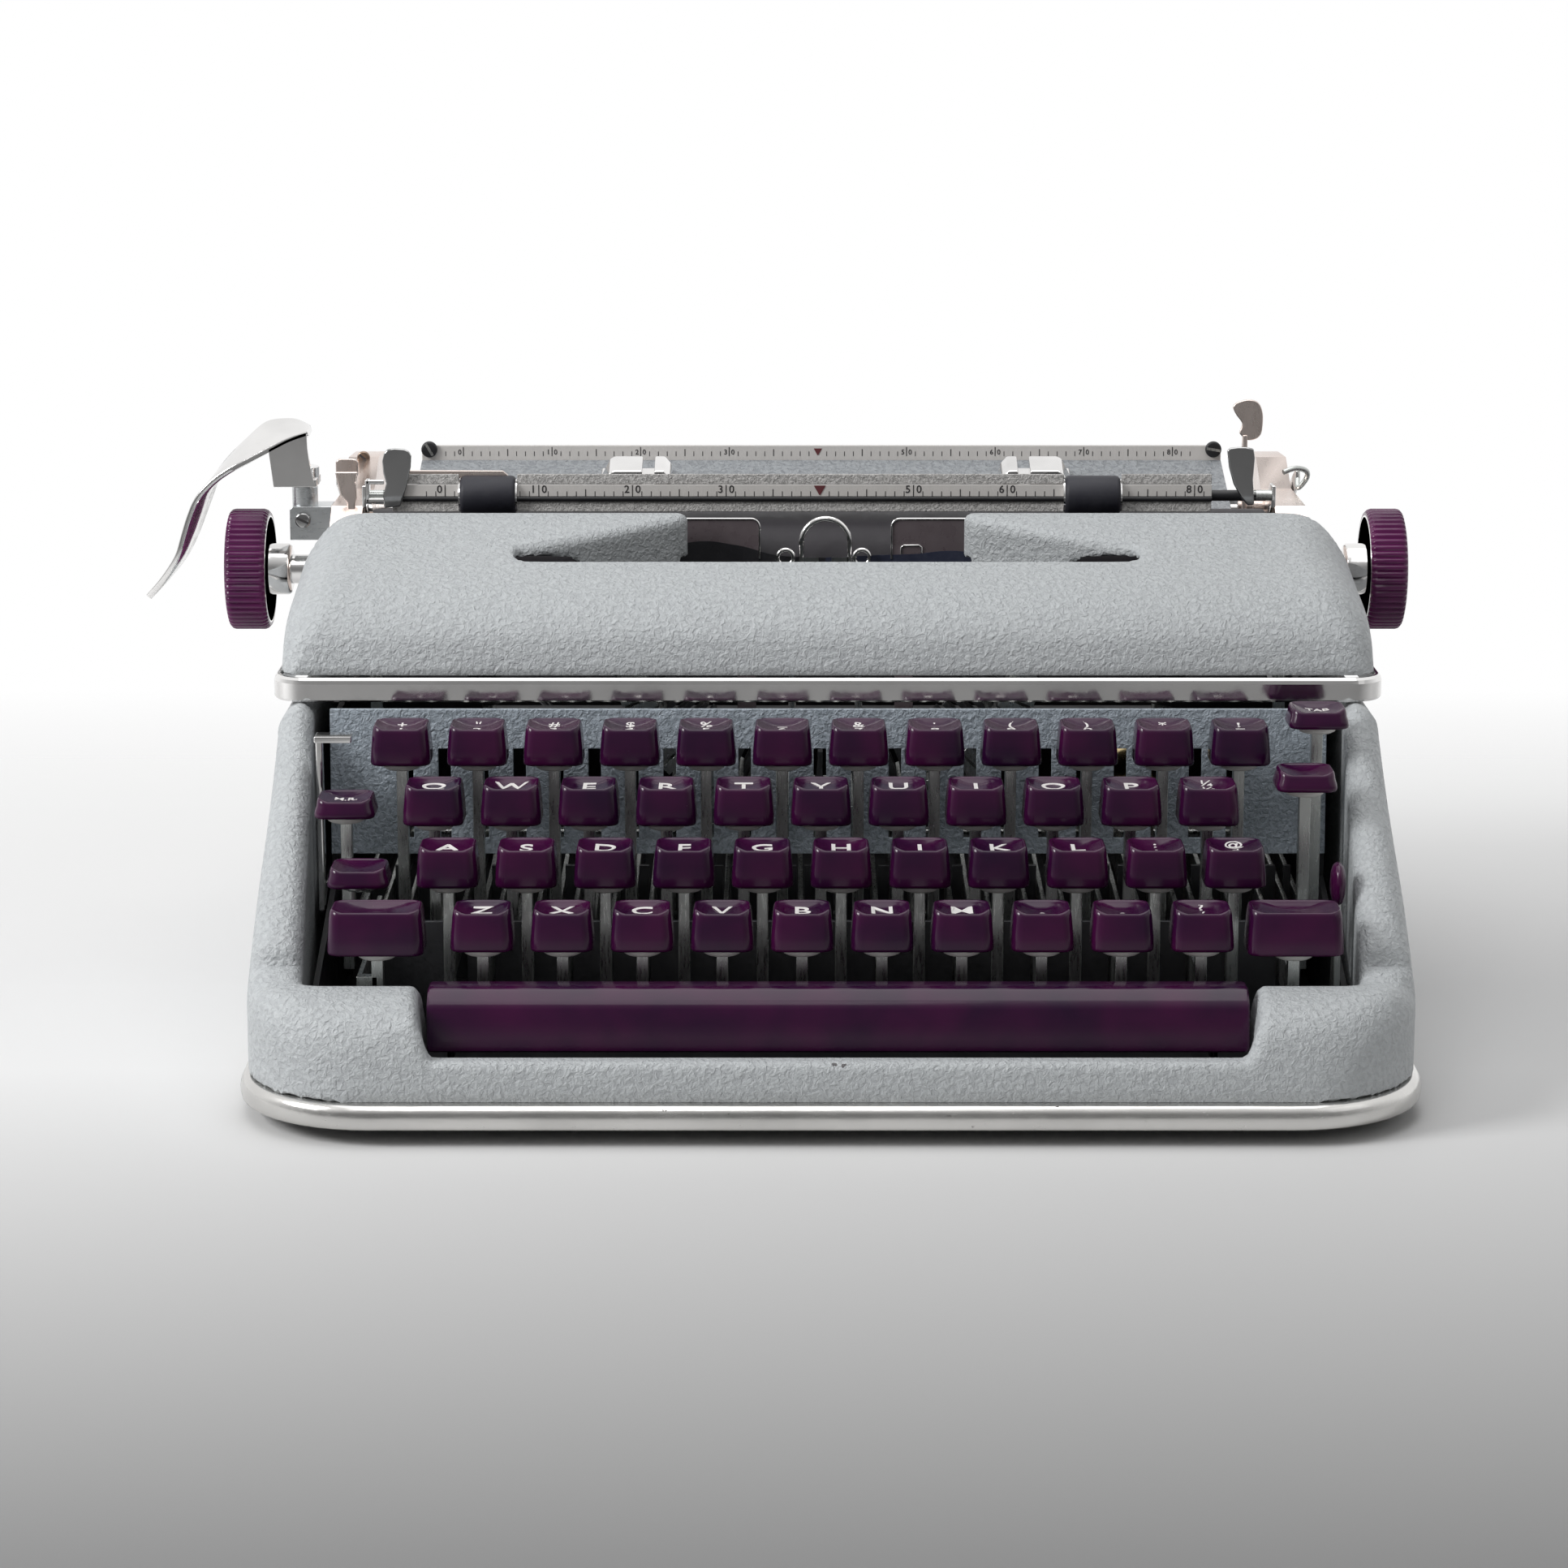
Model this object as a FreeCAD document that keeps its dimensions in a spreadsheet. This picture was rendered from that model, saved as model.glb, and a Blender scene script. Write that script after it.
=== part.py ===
import FreeCAD, Part
import math
import os

import Sketcher

# Manual portable typewriter with a hinged ribbon cover.
# The design frame has x = 0 on the machine's centre line, y = 0 at the front edge of the base trim, +y to the rear
# and z = 0 on the table. Every piece is moved at the end so that the origin lies under the middle of the whole
# machine.

SIZES = {
    # body shell
    "body_half_width": 139, "body_front": 2.5, "body_rear": 293, "body_bottom": 10, "body_corner": 32,
    "shell_wall": 2, "deck_height": 83.6, "rear_deck_height": 80, "shoulder_height": 32.5, "lip_height": 19.3,
    "nose_depth": 21, "nose_foot": 6, "tail_depth": 20, "rail_foot_depth": 28.6, "rail_head_depth": 106,
    "rail_round": 6, "deck_end_depth": 184, "body_rear_corner": 22,
    "bay_left": 95.8, "bay_right": 98.7, "bay_front": 11.3, "bay_slope": 6,
    "well_front_half": 125.5, "well_rear_half": 130.5, "well_rear_depth": 115.5,
    "top_opening_half": 130.5, "top_opening_rear": 283,
    # base
    "foot_height": 4, "trim_height": 6, "trim_half_width": 141, "trim_rear": 295, "trim_width": 5,
    "plate_level": 7, "plate_thickness": 2, "foot_radius": 9, "foot_inset": 34,
    # ribbon cover
    "strip_half_width": 141.5, "strip_front": 113, "strip_thickness": 2.2, "strip_height": 6.1, "strip_corner": 9,
    "cover_half_width": 139.3, "cover_front": 115.5, "cover_rear": 182, "cover_wall": 1.5, "cover_round": 18,
    "cover_front_share": 0.4,
    "cover_lift": 0.3, "cover_rise": 33, "slot_front": 148, "slot_half": 81.8, "slot_throat": 37, "slot_tip": 9.5,
    "ear_wall_drop": 12, "hinge_depth": 118.4, "hinge_height": 92.6, "hinge_radius": 1.2, "hinge_place": 119,
    "hinge_eye": 2.2, "hinge_eye_width": 3, "hinge_arm": 5,
    # keys
    "key_pitch": 19, "cap_width": 15, "cap_depth": 13.6, "cap_height": 10, "cap_top_width": 13,
    "cap_top_depth": 12, "cap_corner": 3, "dish_radius": 20, "dish_sag": 1.2,
    "number_row_x": 106.6, "number_row_y": 93.8, "number_row_z": 82.3,
    "top_row_x": 97.1, "top_row_y": 74.7, "top_row_z": 71.3,
    "home_row_x": 92.4, "home_row_y": 55.6, "home_row_z": 60.2,
    "bottom_row_x": 82.9, "bottom_row_y": 36.6, "bottom_row_z": 49.2,
    "washer_radius": 4.5, "washer_height": 1.5, "stem_width": 2.8, "stem_depth": 3, "lever_thickness": 1.2,
    "lever_low": 24, "lever_high": 32, "lever_low_rear": 26.5, "lever_high_rear": 37.5, "lever_tail": 5,
    "pivot_depth": 188, "pivot_height": 32, "pivot_radius": 2.5, "pivot_play": 0.1,
    "shift_left_x": 108.1, "shift_right_x": 110.2, "shift_cap_width": 23, "shift_cap_height": 11,
    "shift_lever_left": 112.5, "small_cap_height": 5, "lock_x": 113.9, "lock_z": 55, "lock_pivot_depth": 88,
    "lock_pivot_height": 36, "lock_lever_offset": 1.7, "small_pin_radius": 1.5, "cross_depth": 150,
    "cross_height": 16.5, "cross_size": 3,
    "release_x": 118.8, "release_z": 68, "back_x": 116.7, "back_z": 74.7, "tab_x": 121.7, "tab_z": 86.6,
    "tab_lever_x": 120.6, "selector_x": 122.9, "selector_z": 55, "set_lever_x": 127.2, "set_lever_z": 79.5,
    "selector_pivot_height": 18, "set_pivot_depth": 115, "set_pivot_height": 37, "small_lever_half": 0.9,
    "lever_shaft_half": 126,
    # space bar
    "bar_left": 95, "bar_right": 98, "bar_front": 15.6, "bar_rear": 28.2, "bar_bottom": 18.6, "bar_top": 33,
    "bar_arm_left": 90, "bar_arm_right": 90.5, "bar_arm_thickness": 1.2, "bar_pivot_depth": 100,
    "bar_pivot_height": 11, "bar_pivot_radius": 1.2, "bar_arm_floor": 14.6,
    # panel and combs
    "panel_depth": 105, "panel_lean": 3, "panel_low": 46, "panel_high": 82.8, "panel_thickness": 1.2,
    "panel_slot_width": 3.2, "panel_half": 126,
    "comb_front_depth": 61.6, "comb_rear_depth": 122, "comb_thickness": 1.6, "comb_clearance": 7,
    "comb_slot_floor": 11,
    "comb_play": 0.4, "comb_front_half": 114.4, "comb_rear_half": 123,
    # type basket
    "typing_height": 103, "typing_radius": 55, "segment_depth": 180, "segment_half_thickness": 4,
    "bridge_drop": 64.8, "segment_inner": 45, "segment_outer": 62, "segment_cut": 13, "bridge_height": 4.5,
    "typebar_thickness": 1.2, "typebar_height": 4, "typebar_step": 3.6, "typebar_count": 20,
    "typebar_bore": 0.9, "segment_wire": 0.8,
    "slug_width": 2.6, "slug_length": 8, "slug_height": 6.5, "slot_play": 0.2,
    # ribbon
    "ribbon_low": 92, "ribbon_width": 12.7, "ribbon_thickness": 0.3, "ribbon_depth": 187.3,
    "spool_x": 90, "spool_y": 152, "spool_radius": 19.5, "spool_pack": 15, "flange_thickness": 0.8,
    "spool_bore": 2.6, "spool_post_radius": 2.5,
    "vibrator_inner": 8, "vibrator_outer": 14,
    # card holders and type guide
    "card_inner": 17.8, "card_outer": 45, "card_low_rise": 5.7, "card_high_rise": 16.6, "card_depth": 187.4,
    "card_bracket_drop": 43, "card_bracket_gap": 0.3, "card_bracket_height": 4, "card_leg": 5,
    "card_thickness": 0.9, "guide_wire_radius": 0.75, "guide_half_width": 6.5,
    # frame
    "frame_plate_x": 124.6, "frame_plate_thickness": 1.4, "shelf_level": 52, "shelf_thickness": 4,
    "frame_front": 50, "frame_rear": 278, "member_thickness": 2, "front_member_depth": 126, "shelf_front": 226,
    "shelf_rear": 252, "guide_rod_depth": 237, "post_foot": 76, "post_shelf": 3, "post_collar": 4.5,
    # carriage
    "carriage_left": 134.5, "carriage_right": 131, "end_plate_left_inner": 126, "end_plate_right_inner": 122.5,
    "carriage_floor": 84.6, "carriage_top": 92, "channel_front": 226.6, "channel_rear": 249,
    "tongue_front": 232, "tongue_rear": 242, "tongue_top": 88, "carriage_play": 0.3,
    "rail_half_length": 119, "rail_bottom": 71, "rail_top": 80, "guide_rod_x": 96, "guide_rod_radius": 3,
    "platen_depth": 206, "platen_height": 103, "platen_radius": 16.5, "platen_end_gap": 2.2,
    "platen_shaft_radius": 4, "knob_radius": 16.5, "knob_left_inner": 152, "knob_left_outer": 163,
    "knob_right_inner": 148, "knob_right_outer": 158,
    "knob_edge": 1.2, "hub_radius": 7, "hub_length": 6,
    "feed_angle_rear": 40, "feed_radius_rear": 4, "feed_angle_front": 50, "feed_radius_front": 3,
    "feed_shaft_radius": 1.25, "feed_length": 46, "feed_gap": 0.3,
    "table_left": 115, "table_right": 114, "table_low_depth": 228, "table_low_height": 114.5,
    "table_high_depth": 264, "table_high_height": 125.3, "table_thickness": 1.5, "table_lip": 9,
    "scale_height": 6, "scale_thickness": 1, "scale_top": 129.5,
    "guide_left_x": 53, "guide_right_x": 60, "guide_width": 21, "guide_height": 8,
    # bail
    "bail_depth": 199, "bail_height": 124.3, "bail_rod_radius": 1.5, "bail_left": 118, "bail_right": 115,
    "bail_pivot_depth": 218, "bail_pivot_height": 112, "bail_strip_height": 9, "bail_strip_thickness": 1,
    "roller_radius": 5.4, "roller_width": 15, "roller_left_x": 91.5, "roller_right_x": 72.5, "roller_play": 0.1,
    # levers on the carriage
    "return_pin_x": 142, "return_pin_depth": 205, "return_pin_radius": 3, "return_pin_top": 130,
    "return_floor": 126.6, "return_front": 198.5, "return_sheet": 1.8, "return_play": 0.3, "return_collar": 3.5,
    "bracket_low": 111.8, "bracket_top": 121, "bracket_front": 200.4, "bracket_rear": 211,
    "release_tab_depth": 229, "release_shaft_depth": 258, "release_shaft_height": 112,
    "paper_lever_x": 117, "paper_lever_depth": 230, "paper_lever_height": 117,
    # drum and bell
    "drum_x": 95, "drum_y": 262, "drum_z": 40, "drum_radius": 20, "drum_depth": 13, "drum_axle_radius": 3,
    "bell_x": 90, "bell_y": 255, "bell_z": 30, "bell_radius": 16, "bell_wall": 1.2,
    # shift of the whole machine onto its origin
    "origin_x": 13.95, "origin_y": 147.5,
}

doc = FreeCAD.newDocument("Typewriter")
sheet = doc.addObject("Spreadsheet::Sheet", "Sizes")
for row, (alias, value) in enumerate(SIZES.items(), start=1):
    sheet.set("A%d" % row, alias)
    sheet.set("B%d" % row, str(value))
    sheet.setAlias("B%d" % row, alias)
doc.recompute()


class Size:
    """A length as a number, together with the sheet expression that it comes from."""

    def __init__(self, value, text):
        self.value = float(value)
        self.text = text

    def __add__(self, other):
        other = size(other)
        return Size(self.value + other.value, "(%s + %s)" % (self.text, other.text))

    def __radd__(self, other):
        return size(other) + self

    def __sub__(self, other):
        other = size(other)
        return Size(self.value - other.value, "(%s - %s)" % (self.text, other.text))

    def __rsub__(self, other):
        return size(other) - self

    def __mul__(self, other):
        other = size(other)
        return Size(self.value * other.value, "(%s * %s)" % (self.text, other.text))

    def __rmul__(self, other):
        return size(other) * self

    def __truediv__(self, other):
        other = size(other)
        return Size(self.value / other.value, "(%s / %s)" % (self.text, other.text))

    def __neg__(self):
        return Size(-self.value, "(0 - %s)" % self.text)

    def __float__(self):
        return self.value


def size(value):
    """Any number or sheet alias as a Size."""
    if isinstance(value, Size):
        return value
    if isinstance(value, str):
        return Size(getattr(sheet, value), "Sizes." + value)
    return Size(value, repr(round(float(value), 6)))


class Sheet:
    """Reads a named size as an attribute."""

    def __getattr__(self, alias):
        return size(alias)


S = Sheet()

# Levels that follow the typing line
BRIDGE_LEVEL = S.typing_height - S.bridge_drop
COMB_TOP = S.typing_height - S.typing_radius - S.typebar_height / 2 - S.comb_clearance
CARD_LOW = S.typing_height + S.card_low_rise
CARD_HIGH = S.typing_height + S.card_high_rise
CARD_BRACKET = S.typing_height - S.card_bracket_drop


def bind(thing, **values):
    for name, value in values.items():
        thing.setExpression(name, size(value).text)


def place(thing, x=0, y=0, z=0, rotation=None):
    """Puts an object at a point given by sizes, after an optional fixed rotation."""
    if rotation is not None:
        thing.Placement = FreeCAD.Placement(FreeCAD.Vector(), rotation)
    for axis, value in zip("xyz", (x, y, z)):
        value = size(value)
        thing.setExpression(".Placement.Base." + axis, value.text)
    return thing


def turn(axis, degrees):
    return FreeCAD.Rotation(FreeCAD.Vector(*axis), degrees)


ALONG_X = turn((0, 1, 0), 90)
ALONG_Y = turn((1, 0, 0), -90)


def box(x0, x1, y0, y1, z0, z1):
    block = doc.addObject("Part::Box", "Block")
    bind(block, Length=size(x1) - x0, Width=size(y1) - y0, Height=size(z1) - z0)
    return place(block, x0, y0, z0)


def wedge(x_front, x_rear, y0, y1, z_front, z_rear):
    """A bar from y0 to y1 whose x range and z range change evenly from its front end to its rear end."""
    bar = doc.addObject("Part::Wedge", "Bar")
    bind(bar, Ymin=y0, Ymax=y1, Xmin=x_front[0], Xmax=x_front[1], Zmin=z_front[0], Zmax=z_front[1])
    bind(bar, X2min=x_rear[0], X2max=x_rear[1], Z2min=z_rear[0], Z2max=z_rear[1])
    return bar


def rod_x(radius, x0, x1, y, z):
    rod = doc.addObject("Part::Cylinder", "Rod")
    bind(rod, Radius=radius, Height=size(x1) - x0)
    return place(rod, x0, y, z, ALONG_X)


def rod_y(radius, y0, y1, x, z):
    rod = doc.addObject("Part::Cylinder", "Rod")
    bind(rod, Radius=radius, Height=size(y1) - y0)
    return place(rod, x, y0, z, ALONG_Y)


def rod_z(radius, z0, z1, x, y):
    rod = doc.addObject("Part::Cylinder", "Rod")
    bind(rod, Radius=radius, Height=size(z1) - z0)
    return place(rod, x, y, z0)


def fuse(*things):
    joined = doc.addObject("Part::MultiFuse", "Joined")
    joined.Shapes = list(things)
    joined.Refine = False
    return joined


def cut(base, *tools):
    tool = tools[0] if len(tools) == 1 else group(*tools)
    result = doc.addObject("Part::Cut", "Cut")
    result.Base = base
    result.Tool = tool
    return result


def common(first, second):
    result = doc.addObject("Part::Common", "Common")
    result.Base = first
    result.Tool = second
    return result


def group(*things):
    """Separate solids that make one sub-part."""
    bunch = doc.addObject("Part::Compound", "Group")
    bunch.Links = list(things)
    return bunch


def rounded(base, radius, wanted):
    """Fillets the edges of a base for which wanted(edge) is true."""
    doc.recompute([base])
    smooth = doc.addObject("Part::Fillet", "Rounded")
    smooth.Base = base
    numbers = [i for i, edge in enumerate(base.Shape.Edges, start=1) if wanted(edge)]
    smooth.Edges = [(i, float(radius), float(radius)) for i in numbers]
    return smooth


def runs_up(edge):
    """True for an edge that leads from one level to another."""
    return abs(edge.Vertexes[0].Z - edge.Vertexes[-1].Z) > 1


def profile(plane, points, length, start=0):
    """A PartDesign body: a closed outline of sized points on an origin plane, padded from start by length."""
    body = doc.addObject("PartDesign::Body", "Profile")
    sketch = body.newObject("Sketcher::SketchObject", "Outline")
    base = [f for f in body.Origin.OriginFeatures if f.Role == plane][0]
    sketch.AttachmentSupport = [(base, "")]
    sketch.MapMode = "FlatFace"
    start = size(start)
    sign = -1 if plane == "XZ_Plane" else 1
    sketch.setExpression(".AttachmentOffset.Base.z", (start * sign).text)
    points = [(size(a), size(b)) for a, b in points]
    count = len(points)
    for i, (a, b) in enumerate(points):
        c, d = points[(i + 1) % count]
        ends = FreeCAD.Vector(a.value, b.value, 0), FreeCAD.Vector(c.value, d.value, 0)
        sketch.addGeometry(Part.LineSegment(*ends), False)
    for i in range(count):
        sketch.addConstraint(Sketcher.Constraint("Coincident", i, 2, (i + 1) % count, 1))
    for i, (a, b) in enumerate(points):
        for kind, value in (("DistanceX", a), ("DistanceY", b)):
            index = sketch.addConstraint(Sketcher.Constraint(kind, -1, 1, i, 1, value.value))
            sketch.setExpression("Constraints[%d]" % index, value.text)
    pad = body.newObject("PartDesign::Pad", "Pad")
    pad.Profile = sketch
    bind(pad, Length=length)
    if plane == "XZ_Plane":
        pad.Reversed = True
    body.Tip = pad
    return body


def shaped(shape):
    """A sub-part whose form has no sketch or primitive of its own."""
    thing = doc.addObject("Part::Feature", "Shell")
    thing.Shape = shape
    return thing


def vector(x, y, z):
    return FreeCAD.Vector(float(x), float(y), float(z))


def polygon(points):
    return Part.makePolygon([vector(*p) for p in points] + [vector(*points[0])])


def prism(points, direction):
    """A solid swept from a closed flat outline."""
    return Part.Face(polygon(points)).extrude(vector(*direction))


NODES = {}


def node(name, thing):
    """Names a finished sub-part and moves it from the design frame onto the machine's origin."""
    if thing.isDerivedFrom("Part::Primitive"):
        thing = group(thing)
    thing.Label = name
    place(thing, S.origin_x, -S.origin_y, 0)
    NODES[name] = thing


def plan_outline(half_width, front, rear, corner, rear_corner, z0, height):
    """A block with the rounded plan of the body."""
    w, f, b, c, r = (float(v) for v in (half_width, front, rear, corner, rear_corner))
    k = 1 - math.sqrt(0.5)

    def at(x, y):
        return vector(x, y, z0)

    edges = [
        Part.makeLine(at(-w + c, f), at(w - c, f)),
        Part.Arc(at(w - c, f), at(w - c * k, f + c * k), at(w, f + c)).toShape(),
        Part.makeLine(at(w, f + c), at(w, b - r)),
        Part.Arc(at(w, b - r), at(w - r * k, b - r * k), at(w - r, b)).toShape(),
        Part.makeLine(at(w - r, b), at(-w + r, b)),
        Part.Arc(at(-w + r, b), at(-w + r * k, b - r * k), at(-w, b - r)).toShape(),
        Part.makeLine(at(-w, b - r), at(-w, f + c)),
        Part.Arc(at(-w, f + c), at(-w + c * k, f + c * k), at(-w + c, f)).toShape(),
    ]
    return Part.Face(Part.Wire(edges)).extrude(vector(0, 0, height))


def body_height(y, inset):
    """Height of the casing's skin at a depth, ahead of the step down to the rear deck."""
    front = S.body_front.value + inset
    shoulder = S.shoulder_height.value
    nose = S.nose_depth.value
    if y < front + nose:
        t = (front + nose - y) / nose
        rise = shoulder - S.body_bottom.value - S.nose_foot.value
        return shoulder - inset - rise * (1 - math.sqrt(max(0, 1 - t * t)))
    foot, head = S.rail_foot_depth.value, S.rail_head_depth.value
    t = min(1, max(0, (y - foot - inset / 2) / (head - foot)))
    return shoulder + (S.deck_height.value - shoulder) * t - inset


def body_half(y, inset):
    """Half width of the casing's plan at a depth, with its rounded front and rear corners."""
    half = S.body_half_width.value - inset
    near, corner = y - S.body_front.value - inset, S.body_corner.value - inset
    behind = S.body_rear.value - inset - y
    if behind < near:
        near, corner = behind, S.body_rear_corner.value - inset
    if near >= corner:
        return half
    return half - corner + math.sqrt(max(0, corner ** 2 - (corner - near) ** 2))


def body_section(y, half, top, low, edge):
    """A cross-section of the casing with rounded upper corners."""
    edge = max(0.3, min(edge, (top - low) * 0.8))
    turns = [math.radians(a) for a in (90, 67, 45, 22, 0)]
    arc = [(half - edge + edge * math.cos(a), top - edge + edge * math.sin(a)) for a in turns]
    right = arc + [(half, low)]
    outline = [(-x, z) for x, z in reversed(right)] + right
    return polygon([(x, y, z) for x, z in outline])


def body_block(inset):
    """The casing without its openings, drawn in from the outer skin by the inset."""
    low = S.body_bottom.value - inset
    front = S.body_front.value + inset
    rear = S.body_rear.value - inset
    nose = S.nose_depth.value
    edge = S.rail_round.value - inset / 2
    step = S.deck_end_depth.value - inset
    steps = (0, 0.03, 0.1, 0.22, 0.4, 0.65, 1)
    places = [front + nose * t for t in steps]
    places += [S.rail_foot_depth.value + inset / 2, S.rail_head_depth.value + inset / 2, step]
    wires = [body_section(y, body_half(y, inset), body_height(y, inset), low, edge) for y in places]
    ahead = Part.makeLoft(wires, True, True)
    deck = S.rear_deck_height.value - inset
    tail = S.tail_depth.value - inset
    places = [step - 10] + [rear - tail * t for t in reversed(steps)]
    wires = []
    for y in places:
        t = max(0, (y - rear + tail) / tail)
        top = deck - tail * (1 - math.sqrt(max(0, 1 - t * t)))
        wires.append(body_section(y, body_half(y, inset), top, low, edge))
    return ahead.fuse(Part.makeLoft(wires, True, True))


def well_block(grow):
    """The keyboard well, grown outward by grow."""
    front_half = S.well_front_half.value + grow
    rear_half = S.well_rear_half.value + grow
    front = S.rail_foot_depth.value - grow
    rear = S.well_rear_depth.value
    low = S.body_bottom.value - 1
    points = [(-front_half, front, low), (front_half, front, low), (rear_half, rear, low), (-rear_half, rear, low)]
    return prism(points, (0, 0, 120))


def bay_dip(grow):
    """The dip in the front wall ahead of the space bar, with long slopes at its ends, grown outward by grow."""
    left = -S.bay_left.value - grow
    right = S.bay_right.value + grow
    slope = S.bay_slope.value
    low = S.lip_height.value - grow
    high = S.shoulder_height.value
    rear = S.rail_foot_depth.value

    def at(x, z):
        return vector(x, -5, z)

    mid = (low + high) / 2
    edges = [
        Part.makeLine(at(left + slope / 2, low), at(right - slope / 2, low)),
        Part.Arc(at(right - slope / 2, low), at(right - slope / 8, low + slope / 6), at(right, mid)).toShape(),
        Part.Arc(at(right, mid), at(right + slope / 4, high - slope / 6), at(right + slope, high + 0.5)).toShape(),
        Part.makeLine(at(right + slope, high + 0.5), at(right + slope, high + 30)),
        Part.makeLine(at(right + slope, high + 30), at(left - slope, high + 30)),
        Part.makeLine(at(left - slope, high + 30), at(left - slope, high + 0.5)),
        Part.Arc(at(left - slope, high + 0.5), at(left - slope / 4, high - slope / 6), at(left, mid)).toShape(),
        Part.Arc(at(left, mid), at(left + slope / 8, low + slope / 6), at(left + slope / 2, low)).toShape(),
    ]
    return Part.Face(Part.Wire(edges)).extrude(vector(0, rear + 5 + grow, 0))


def lower_casing():
    """The one-piece shell round the keyboard and the mechanism, with inner walls round the key well."""
    wall = S.shell_wall.value
    outer = body_block(0)
    inner = body_block(wall)
    shell = outer.cut(inner)
    well = well_block(0)
    dip = bay_dip(0)
    walls = well_block(wall).fuse(bay_dip(wall)).common(outer)
    shell = shell.fuse(walls)
    bay = Part.makeBox(
        S.bay_left.value + S.bay_right.value, S.rail_foot_depth.value - S.bay_front.value + 8, 100,
        vector(-S.bay_left, S.bay_front, S.body_bottom.value - 1))
    top = Part.makeBox(
        2 * S.top_opening_half.value, S.top_opening_rear.value - S.well_rear_depth.value + 1, 90,
        vector(-S.top_opening_half, S.well_rear_depth.value - 1, S.body_bottom.value + 40))
    for tool in (well, dip, bay, top):
        shell = shell.cut(tool)
    solids = sorted(shell.Solids, key=lambda s: s.Volume)
    return shaped(solids[-1])


def cover_side(drop, inset):
    """Points of the ribbon cover's side outline, front foot to rear foot: lowered by drop and drawn in by inset."""
    front = S.cover_front.value + inset + drop * S.cover_front_share.value
    low = S.deck_height.value + S.strip_height.value + S.cover_lift.value
    rise = S.cover_rise.value - inset - drop
    depth = S.cover_rear.value - inset - front
    shape = [(0, 0), (0.012, 0.12), (0.045, 0.30), (0.11, 0.45), (0.20, 0.57), (0.32, 0.66), (0.46, 0.73),
             (0.62, 0.81), (0.78, 0.90), (0.90, 0.96), (0.975, 0.99), (1, 0.95)]
    return [(front + a * depth, low + b * rise) for a, b in shape]


def cover_block(inset, sink=0.0):
    """The ribbon cover as a full block, drawn in from the outer skin by the inset."""
    half = S.cover_half_width.value - inset
    low = S.deck_height.value + S.strip_height.value + S.cover_lift.value - sink
    rounding = S.cover_round.value
    wires = []
    steps = [0, 0.03, 0.1, 0.22, 0.4, 0.65, 1]
    stations = [(-half + rounding * t, t) for t in steps] + [(half - rounding * t, t) for t in reversed(steps)]
    for x, t in stations:
        drop = rounding * (1 - math.sqrt(1 - (1 - t) ** 2))
        side = cover_side(drop, inset)
        foot = [(side[-1][0], low), (side[0][0], low)]
        wires.append(polygon([(x, y, z) for y, z in side[1:] + foot]))
    return Part.makeLoft(wires, True, True)


def ear_edge(grow):
    """Plan points of the left half of the slot, from the throat at the rear edge round its blunt tip to the front."""
    front = S.slot_front.value - grow
    tip = S.slot_half.value + grow
    throat = S.slot_throat.value + grow
    rear = S.cover_rear.value - 5 + grow
    wide = S.slot_tip.value + 2 * grow
    points = [(throat, S.cover_rear.value + 10), (throat, rear)]
    for i in range(1, 9):
        t = i / 8
        points.append((throat + (tip - 1 - throat) * t, front + wide + (rear - front - wide) * (1 - t) ** 1.2))
    for back, along in ((0, 0.8), (0.3, 0.45), (1.6, 0.2), (4, 0.05), (8, 0)):
        points.append((tip - back, front + wide * along))
    return points


def slot_block(grow, z0, height):
    side = ear_edge(grow)
    outline = [(-x, y) for x, y in side] + [(x, y) for x, y in reversed(side)]
    return prism([(x, y, z0) for x, y in outline], (0, 0, height))


def ribbon_cover():
    """The hinged hood over the ribbon and the typebars, with a slot open to the rear and turned-down ear walls."""
    outer = cover_block(0)
    inner = cover_block(S.cover_wall.value, 3)
    shell = outer.cut(inner)
    slot = slot_block(0, 80, 80)
    top = S.deck_height.value + S.strip_height.value + S.cover_rise.value
    rims = slot_block(S.cover_wall.value, top - S.ear_wall_drop.value - 4, 40).common(outer)
    rims = rims.cut(Part.makeBox(300, S.slot_front.value + 1.5, 300, vector(-150, 0, 0)))
    tip, low = S.slot_half.value, top - S.ear_wall_drop.value - 5
    for side in (-1, 1):
        rise = [(tip - 23, low), (tip - 14, top - 9.5), (tip - 7, top - 7), (tip + 4, top - 7), (tip + 4, low)]
        rims = rims.cut(prism([(side * x, 100, z) for x, z in rise], (0, 100, 0)))
    shell = shell.fuse(rims).cut(slot)
    back = Part.makeBox(
        200, 10, top - S.ear_wall_drop.value - 50, vector(-100, S.cover_rear.value - 6, 50))
    shell = shell.cut(back)
    depth, height = S.hinge_depth, S.hinge_height
    wide = S.hinge_eye_width.value
    for side in (-1, 1):
        x = side * S.hinge_place.value
        eye = Part.makeCylinder(S.hinge_eye.value, wide, vector(x - wide / 2, depth, height), vector(1, 0, 0))
        reach = wide / 2 + S.hinge_arm.value + 1
        bore = Part.makeCylinder(
            S.hinge_radius.value + S.pivot_play.value, 2 * reach, vector(x - reach, depth, height), vector(1, 0, 0))
        shell = shell.fuse(eye).cut(bore)
    solids = sorted(shell.Solids, key=lambda s: s.Volume)
    return shaped(solids[-1])


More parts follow.
